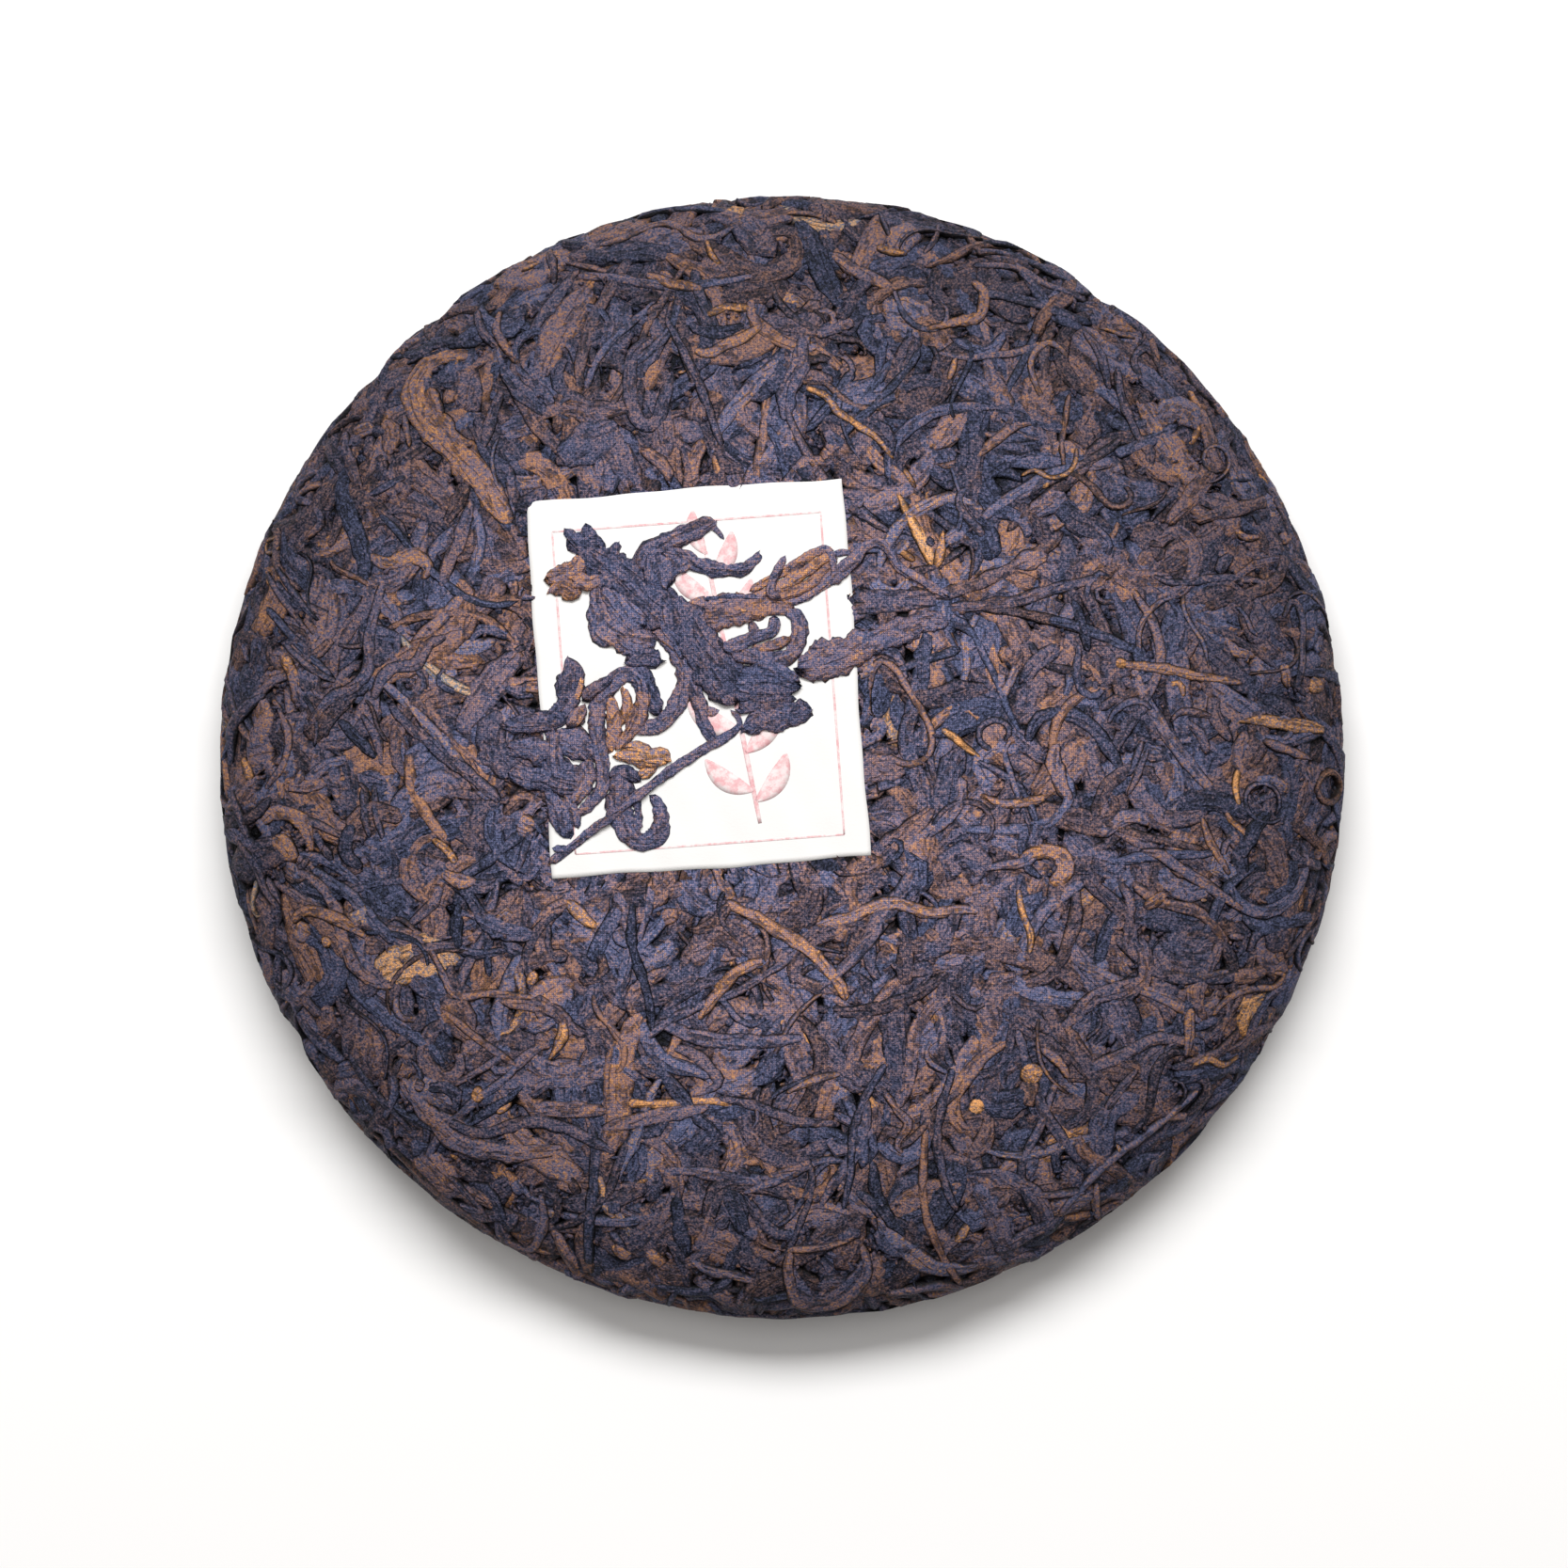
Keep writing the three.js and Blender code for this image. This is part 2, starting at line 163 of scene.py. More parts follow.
# Tones of a leaf, from darkest to palest, as shares of the leaf colour ramp
DARK, VIOLET, GREY, BROWN, TAN, GOLD, PALE = 0.22, 0.38, 0.45, 0.56, 0.66, 0.80, 0.96

# Leaves that show on the cake's face: tone, width at each end, and the path in millimetres as
# seen from above
FACE_LEAVES = [
    (TAN, 5.4, 6.6, [(-54.5, 70.6), (-60, 71), (-63, 68.7), (-64.4, 64.8), (-63, 60), (-59.6, 56.5),
                     (-53, 49), (-47.4, 40.4)]),
    (BROWN, 3.0, 3.0, [(-62.2, 65.3), (-60.9, 61.8), (-59.6, 59.2)]),
    (VIOLET, 2.5, 2.5, [(-49, 64.8), (-50.9, 59.6), (-52.6, 53.5)]),
    (GREY, 3.0, 3.0, [(-54.2, 45.5), (-56, 39), (-58.5, 33.4), (-59.8, 29.2)]),
    (VIOLET, 3.5, 3.5, [(-49.6, 69.2), (-45.6, 64), (-40.8, 59.6)]),
    (GREY, 2.8, 2.8, [(-35.6, 86.2), (-38.2, 82.7), (-42.6, 76.6), (-44.3, 73)]),
    (BROWN, 6.5, 6.0, [(-33.4, 82.7), (-37.8, 76.6), (-41.3, 70.5), (-42.6, 66)]),
    (DARK, 2.8, 2.8, [(-69.6, 70.9), (-64.8, 71.4), (-61.8, 72.7), (-57.4, 73), (-53, 72.7)]),
    (BROWN, 2.0, 2.0, [(-49.6, 79.2), (-50, 74.8), (-47.8, 70.9), (-45.6, 68.3)]),
    (GREY, 2.2, 2.2, [(-53.9, 79.2), (-52.6, 74.8), (-49.6, 71.4)]),
    (GREY, 2.0, 2.0, [(-41.3, 90.5), (-40.4, 86.2), (-40.4, 82.7)]),
    (GOLD, 1.2, 1.4, [(-46.5, 85.5), (-42.6, 87.3)]),
    (TAN, 3.0, 3.0, [(-76.2, 57), (-71.4, 58.3)]),
    (BROWN, 3.5, 3.5, [(-70.9, 59.2), (-68.3, 57.4), (-69.6, 52.6)]),
    (VIOLET, 1.8, 1.8, [(-73, 45.6), (-65.3, 49.6)]),
    (GREY, 2.8, 2.8, [(-77.5, 58.3), (-76.6, 53), (-73.5, 46.5)]),
    (TAN, 3.2, 3.2, [(-72.7, 35.8), (-68.8, 33.8), (-64.7, 35.5), (-62, 33.3), (-63.3, 30.8)]),
    (VIOLET, 8.0, 7.0, [(-39, 51.5), (-34, 55), (-28, 57.5)]),
    (VIOLET, 1.9, 1.9, [(-20.5, 77), (-16.6, 69.6), (-13.5, 62.6), (-10.5, 53.9)]),
    (DARK, 4.7, 4.7, [(2.6, 95.3), (5.2, 89.7), (7.8, 83.6), (10.5, 78.3)]),
    (BROWN, 1.8, 1.8, [(-33, 90.5), (-28.3, 91.4), (-23.5, 93.6), (-19.2, 93.8), (-14.8, 91.2), (-10, 92.7),
                       (-6.5, 94)]),
    (GOLD, 1.6, 1.4, [(-13.5, 91.4), (-12.6, 88.4), (-10.5, 85.7)]),
    (GOLD, 2.2, 1.6, [(-13.9, 77.2), (-9.6, 78.8), (-3.9, 78.3)]),
    (TAN, 2.5, 2.0, [(-24.4, 84.9), (-19.6, 83), (-15.3, 82.3), (-13.5, 81.4)]),
    (DARK, 2.6, 2.6, [(-16.6, 76.6), (-14.8, 74.8), (-10.5, 74.4), (-6, 75.7)]),
    (TAN, 2.6, 2.2, [(-16, 71.4), (-13, 70.7), (-9.6, 72.2), (-5.2, 74.4), (-2.6, 76.6)]),
    (GREY, 4.0, 4.0, [(3.5, 74), (3, 68.7), (0.9, 63.9), (0.4, 58.3)]),
    (GREY, 3.0, 3.0, [(5.2, 74), (9.6, 75.3), (13, 76.6)]),
    (GOLD, 1.8, 1.4, [(3.5, 64.8), (7, 63.5), (9.6, 60.5), (13.5, 57.8), (17, 55.2), (19.6, 51.7)]),
    (BROWN, 3.0, 3.0, [(8.3, 88.8), (12.2, 85.7), (16.6, 83.6), (19.6, 82.3)]),
    (GOLD, 2.2, 1.6, [(16, 90), (19.2, 88.8), (22.2, 88.4)]),
    (VIOLET, 1.2, 1.2, [(16.8, 97), (17.9, 94), (19, 91)]),
    (GREY, 1.4, 1.4, [(27.5, 94.5), (27, 91.8), (24.4, 87.9)]),
    (TAN, 3.0, 1.8, [(33, 84), (35.2, 81.4), (34.7, 77.5), (31.8, 76.6), (27.9, 75.7), (24.4, 74.8)]),
    (TAN, 1.6, 1.4, [(30.5, 70.5), (28.8, 65.3)]),
    (VIOLET, 3.0, 3.0, [(-22.2, 73.5), (-26.2, 70.5), (-26.6, 63.9), (-25.3, 58.7), (-21.8, 59.2),
                        (-19.2, 67.9)]),
    (PALE, 1.2, 3.4, [(19.4, 47.6), (21.6, 43), (24, 38.6), (26.6, 33)]),
    (GOLD, 1.6, 2.4, [(28, 40), (27.6, 36.4), (26.8, 32.6)]),
    (GOLD, 1.6, 1.6, [(20.2, 36.4), (23.4, 34)]),
    (GOLD, 1.5, 1.0, [(20.9, 50.9), (23.5, 46.5)]),
    (GREY, 1.8, 1.8, [(33, 86.6), (39.5, 86.6), (43.9, 84.9), (48.3, 82.3), (53.9, 80.6)]),
    (VIOLET, 1.7, 1.7, [(34, 89), (40.5, 88.6), (46, 86.2), (50.5, 83.6)]),
    (DARK, 1.8, 1.8, [(35, 91), (41.5, 90.2), (46.5, 88)]),
    (TAN, 1.6, 1.6, [(50, 69.6), (49, 71.4), (46.5, 72.7), (43.9, 70.5), (43.5, 67.4), (45.6, 62.6)]),
    (GOLD, 1.2, 1.2, [(41.3, 49), (43.9, 50.2), (46.5, 49), (49, 49.3), (50.9, 50.9), (51.5, 54.8)]),
    (GREY, 2.0, 2.0, [(52.6, 75.3), (55.7, 70.5), (57.4, 63.9)]),
    (VIOLET, 2.0, 2.0, [(58.7, 69.6), (59.2, 63.9), (60.9, 59.2), (63, 54.4)]),
    (GREY, 1.8, 1.8, [(63.5, 65.3), (61.8, 69.6), (63.5, 72.2), (66, 72.2), (67.9, 70.9)]),
    (VIOLET, 1.8, 1.8, [(84, 50), (87.5, 44.8), (90, 38.7)]),
    (TAN, 1.8, 1.6, [(78.8, 40.4), (81.4, 38.7), (84.4, 39)]),
    (BROWN, 4.0, 4.0, [(40, 33.4), (46.7, 35.7)]),
    (VIOLET, 4.6, 4.6, [(9.4, 27), (14, 27.2), (19, 27.2), (24, 27.6), (27.4, 27.4)]),
    (GREY, 2.6, 2.4, [(28.5, 26), (40, 27.2), (47, 29.3), (55.6, 31.4)]),
    (BROWN, 1.6, 1.6, [(16.4, -7.6), (15, 0.4), (14.8, 8.6), (15.3, 14.2), (17.2, 16.8), (19.8, 15.2),
                       (22.2, 11.4), (24.9, 7), (26.1, 3), (24.8, -0.2), (21.2, -1.1), (17.9, 0.6)]),
    (PALE, 2.0, 1.2, [(27.2, 5.4), (31, 2.6), (35, -0.4)]),
    (TAN, 2.4, 1.8, [(58.4, 16.4), (66, 15.6), (72, 14.4), (81, 13)]),
    (GOLD, 2.4, 2.0, [(57.8, 16.6), (60.4, 16.4)]),
    (GOLD, 2.0, 3.6, [(79, 6.4), (83.4, 6.5), (88, 6), (92, 5.4), (96, 5)]),
    (BROWN, 2.4, 1.6, [(83.5, 3.3), (88, 1.5), (94, -0.5)]),
    (PALE, 1.8, 1.4, [(79.8, -1.5), (79.2, -5), (80, -9)]),
    (GREY, 1.6, 1.6, [(56.5, 5.5), (58.5, 8.5), (62, 10), (65, 8)]),
    (GREY, 1.9, 1.6, [(67.5, 6), (70, 8), (76, 7)]),
    (TAN, 1.4, 2.6, [(34, -6), (38, -8), (43, -7.7), (46.5, -6.8)]),
    (TAN, 2.4, 4.6, [(40.8, -18), (44, -16.5), (48, -16.8), (49.4, -19.5), (46.5, -22.6)]),
    (GOLD, 1.6, 1.6, [(41, -22.3), (41.8, -27), (43.2, -30.6), (43, -35)]),
    (BROWN, 2.6, 2.2, [(62, -16.5), (66, -17), (70.5, -20), (76, -23.5), (81, -27)]),
    (TAN, 1.8, 1.8, [(73, -10), (75, -15), (78.5, -21)]),
    (BROWN, 3.6, 3.0, [(47.8, 3), (47.5, -2), (50.5, -8)]),
    (GOLD, 4.0, 2.6, [(92.4, 13.4), (95.6, 12)]),
    (GREY, 1.8, 1.8, [(88, 24), (89.6, 27.6), (91.4, 25), (91.4, 18), (90, 11)]),
    (TAN, 2.8, 2.2, [(87.6, 17), (89, 11.6)]),
    (VIOLET, 1.5, 1.5, [(38.4, 2.4), (39.6, 4.8), (37.4, 6.6), (34.6, 5.4), (34.6, 2.6), (37, 1.2)]),
    (DARK, 2.2, 2.2, [(50.5, 28), (52, 24), (53.5, 18)]),
    (GREY, 2.3, 2.6, [(-69.8, 31), (-71, 26), (-72.3, 21), (-72.2, 16), (-75, 12.4), (-79.4, 10),
                      (-83, 5.5)]),
    (VIOLET, 3.0, 2.6, [(-98, -2), (-97.4, 4), (-95, 8), (-90.5, 11.4)]),
    (BROWN, 1.8, 1.8, [(-90, 10.6), (-88, 8), (-86.6, 3.6), (-87.4, -1), (-91, -6)]),
    (BROWN, 10.0, 8.0, [(-95, 1), (-89, 1.4)]),
    (GOLD, 1.8, 2.6, [(-95.6, 0.6), (-94, -2.4), (-93.4, -4.6)]),
    (TAN, 3.4, 3.0, [(-92, -11.7), (-88.3, -9.4), (-84, -11.4), (-82.4, -17)]),
    (TAN, 3.0, 4.4, [(-90, -14), (-87, -15.4), (-85.4, -18.6)]),
    (GREY, 6.4, 5.6, [(-45.6, 18.6), (-51, 12.6), (-56.6, 4)]),
    (VIOLET, 2.2, 3.0, [(-69.6, 10.6), (-65.8, 6), (-59.5, 0.8), (-53.4, -4), (-48.8, -8)]),
    (GREY, 2.8, 2.6, [(-58, 21.4), (-62, 19.6), (-64, 16.4), (-69, 15), (-72, 9.5)]),
    (GOLD, 1.6, 2.2, [(-61.8, -13.8), (-58.7, -16), (-56.6, -19)]),
    (TAN, 3.2, 2.6, [(-60, -19.8), (-56, -21.6), (-53, -21.4)]),
    (TAN, 5.0, 4.0, [(-46.4, -11), (-43, -12.6)]),
    (TAN, 2.6, 2.6, [(-88, 19), (-85.5, 14), (-85.4, 9)]),
    (GOLD, 2.2, 2.0, [(-87, 18), (-86, 15.6)]),
    (GREY, 1.6, 1.6, [(-87.5, 20.5), (-83, 16), (-77.5, 13)]),
    (DARK, 2.4, 2.4, [(-78, 7), (-74, 3), (-70.6, -0.6)]),
    (VIOLET, 1.8, 1.6, [(-73.6, -5), (-73, -10), (-72, -14.5)]),
    (VIOLET, 1.5, 1.5, [(-71.4, -4), (-71, -10), (-69.5, -15)]),
    (DARK, 3.0, 3.0, [(-75, -11), (-76.5, -16), (-73.5, -20)]),
    (VIOLET, 2.0, 2.0, [(-96, -14), (-92.4, -19), (-91, -23), (-88, -27)]),
    (TAN, 2.8, 2.4, [(5.3, -29.5), (11.7, -27.8), (19.3, -25.2), (24.5, -27), (30.8, -26.5), (34.7, -27)]),
    (TAN, 2.6, 3.0, [(-10.3, -24.8), (-4.8, -27.8), (1.2, -31.3), (5.3, -34.2), (9.7, -39.3), (11.3, -42.7)]),
    (TAN, 2.4, 2.8, [(-15, -46.2), (-11.7, -41.5), (-8.3, -37.6), (-2.7, -35)]),
    (BROWN, 3.2, 3.2, [(-32, -65), (-24, -63), (-12.5, -61)]),
    (VIOLET, 2.2, 2.2, [(-11.7, -59.4), (-4.8, -60.7), (2, -63.2), (10.5, -64)]),
    (TAN, 1.6, 1.8, [(0.2, -58.8), (5.3, -56.3), (10.8, -55)]),
    (VIOLET, 1.9, 1.7, [(18.2, -53), (14.7, -58.8), (12.5, -64.8), (11.7, -73.3), (10.5, -79.7)]),
    (PALE, 3.4, 3.0, [(32.6, -60.2), (35.4, -61.8)]),
    (VIOLET, 2.0, 2.0, [(30, -53.8), (27.8, -60.7), (27, -67), (28.7, -75.5), (30.8, -79.7)]),
    (DARK, 2.2, 2.0, [(-26.2, -24.8), (-26.2, -33), (-23.5, -41.5), (-22.7, -48.7)]),
    (TAN, 2.8, 2.4, [(-86.8, -29), (-83, -26.8), (-78.3, -28), (-72.3, -31.7)]),
    (TAN, 4.6, 4.0, [(-86, -29.6), (-82.6, -31.6)]),
    (GOLD, 2.4, 2.0, [(-81, -32.4), (-78.8, -32)]),
    (GOLD, 3.2, 2.2, [(-38, -24.8), (-35, -27.6), (-32, -30)]),
    (GOLD, 3.2, 1.0, [(-38.6, -45.4), (-38.4, -48.7), (-41.2, -53.4)]),
    (GOLD, 2.4, 2.0, [(-43.4, -37), (-44.2, -40)]),
    (TAN, 2.4, 2.2, [(-64.6, -57), (-62.4, -57.6)]),
    (GOLD, 3.2, 2.6, [(-54.6, -58.6), (-52, -59.4)]),
    (GOLD, 1.8, 1.4, [(-50.3, -62.3), (-47.3, -60.2)]),
    (VIOLET, 2.6, 2.6, [(-58.8, -63.5), (-52.8, -65.7), (-44.3, -63.7), (-38, -64.8), (-29, -69.2)]),
    (BROWN, 4.0, 3.6, [(-67.3, -56), (-61.3, -63.2), (-57, -67.3), (-48.5, -69.2), (-38, -68.3)]),
    (BROWN, 3.5, 3.2, [(-45.2, -61.6), (-38, -61.4), (-30, -61.8)]),
    (BROWN, 1.8, 1.8, [(-61.7, -33), (-59.2, -38), (-57, -41.5), (-50.7, -41.2), (-43, -42)]),
    (BROWN, 1.8, 1.8, [(-60, -43.8), (-57, -46), (-52.8, -49.5), (-46, -54.2)]),
    (GREY, 3.8, 3.4, [(62.7, -30.5), (63.5, -37), (61.8, -39.8), (55, -41.7), (50.8, -45.5), (48.2, -47.5)]),
    (GOLD, 4.4, 4.0, [(41.6, -54), (45.4, -56.4)]),
    (TAN, 2.4, 1.8, [(44.8, -50.5), (48.2, -53), (50.3, -56.5)]),
    (GOLD, 1.7, 1.5, [(71.2, -54.3), (74.5, -52.7), (77.5, -54), (81, -52.2)]),
    (TAN, 1.8, 1.6, [(75, -45.5), (78.8, -41.8), (83, -40.6), (87, -40.4), (88.4, -38.2), (86, -37.8)]),
    (TAN, 2.6, 2.2, [(71.5, -43.3), (71.2, -47.5), (70.7, -53)]),
    (TAN, 2.2, 1.8, [(55.4, -74.4), (55.2, -78.6), (55.8, -82)]),
    (TAN, 3.0, 2.4, [(62.6, -26.4), (67.6, -23.6)]),
    (DARK, 4.6, 3.6, [(-9.8, -75), (-8, -79), (-6.4, -84)]),
    (GREY, 2.8, 2.4, [(-20, -50), (-14.6, -52.4), (-11.2, -56.4), (-14, -58.6)]),
    (GREY, 3.4, 3.0, [(-22, -46), (-14, -49), (-4, -49.6), (4, -48.8)]),
    (BROWN, 2.0, 1.8, [(17.6, -58), (20, -61.6), (22, -64), (20, -67.6), (21.4, -69.6)]),
    (DARK, 2.8, 2.4, [(15.6, -70), (16.4, -76), (18.6, -80.6), (22, -84)]),
    (GREY, 4.4, 3.4, [(0.6, -87), (2, -92), (7, -95.6), (12.6, -92), (14.6, -87)]),
    (TAN, 3.6, 3.0, [(-24, -86), (-20.6, -89.6)]),
    (VIOLET, 2.2, 2.0, [(56, -62), (60, -57), (62.4, -54)]),
    (DARK, 2.6, 2.4, [(43, -86), (47, -83), (50, -80.4)]),
    (BROWN, 1.5, 1.5, [(-66.6, 60.9), (-65.8, 57.4), (-65.3, 53.9)]),
    (BROWN, 1.8, 1.8, [(-86, 45.2), (-83.6, 47.8), (-80.5, 48.3)]),
    (GREY, 2.0, 2.0, [(-82.7, 44.8), (-81, 41.3), (-84.4, 38.2)]),
    (GOLD, 1.1, 1.1, [(-89, 38.8), (-91.4, 38.6), (-91.3, 36.4), (-89.2, 36.4), (-88.8, 37.8)]),
    (TAN, 1.2, 1.2, [(55.2, 75.7), (59.2, 74.8), (63.1, 74)]),
    (GOLD, 1.6, 1.4, [(67, 12.5), (69.5, 13), (70, 10)]),
    (DARK, 3.0, 3.0, [(80, -18), (83, -12), (86, -9)]),
    (GREY, 1.6, 1.6, [(63, 3.5), (61, -2), (59.5, -3.5)]),
    (GREY, 1.6, 1.6, [(64, 2), (61.5, -4), (60, -7)]),
    (GREY, 1.6, 1.6, [(-91, 33), (-87, 27), (-83.5, 22.5)]),
    (VIOLET, 1.6, 1.6, [(-89, 34), (-85.4, 28.4), (-81.6, 24)]),
    (GREY, 2.0, 2.0, [(-74, 8), (-71, 3.5), (-70, -2)]),
    (BROWN, 1.4, 1.4, [(-94.5, -23), (-93.5, -27), (-92.5, -32)]),
    (VIOLET, 2.0, 2.0, [(-97.5, -5), (-95.5, -10), (-93.5, -15)]),
    (DARK, 2.4, 2.4, [(-56.5, -25), (-57, -29.5), (-56.5, -34)]),
    (VIOLET, 4.0, 4.0, [(-54, -27), (-49, -30), (-43, -31)]),
    (GREY, 1.6, 1.6, [(-59, -73), (-55, -77), (-51, -81.5)]),
    (VIOLET, 2.6, 2.6, [(-49, -83.5), (-47.6, -81.6), (-47, -79.5)]),
    (BROWN, 2.2, 2.2, [(-42.5, -76), (-42, -82), (-45, -87), (-49.5, -84.5)]),
    (VIOLET, 3.0, 3.0, [(37, -87), (43, -84), (49, -80.5)]),
    (TAN, 3.0, 3.0, [(-30, -85), (-28.2, -86.9), (-26, -88)]),
    (DARK, 3.2, 3.2, [(-18.5, -76), (-18, -82), (-16.5, -88)]),
    (BROWN, 2.6, 2.6, [(14, -85), (14.5, -91), (9, -96.5), (3, -96), (1, -90), (1.5, -86)]),
]

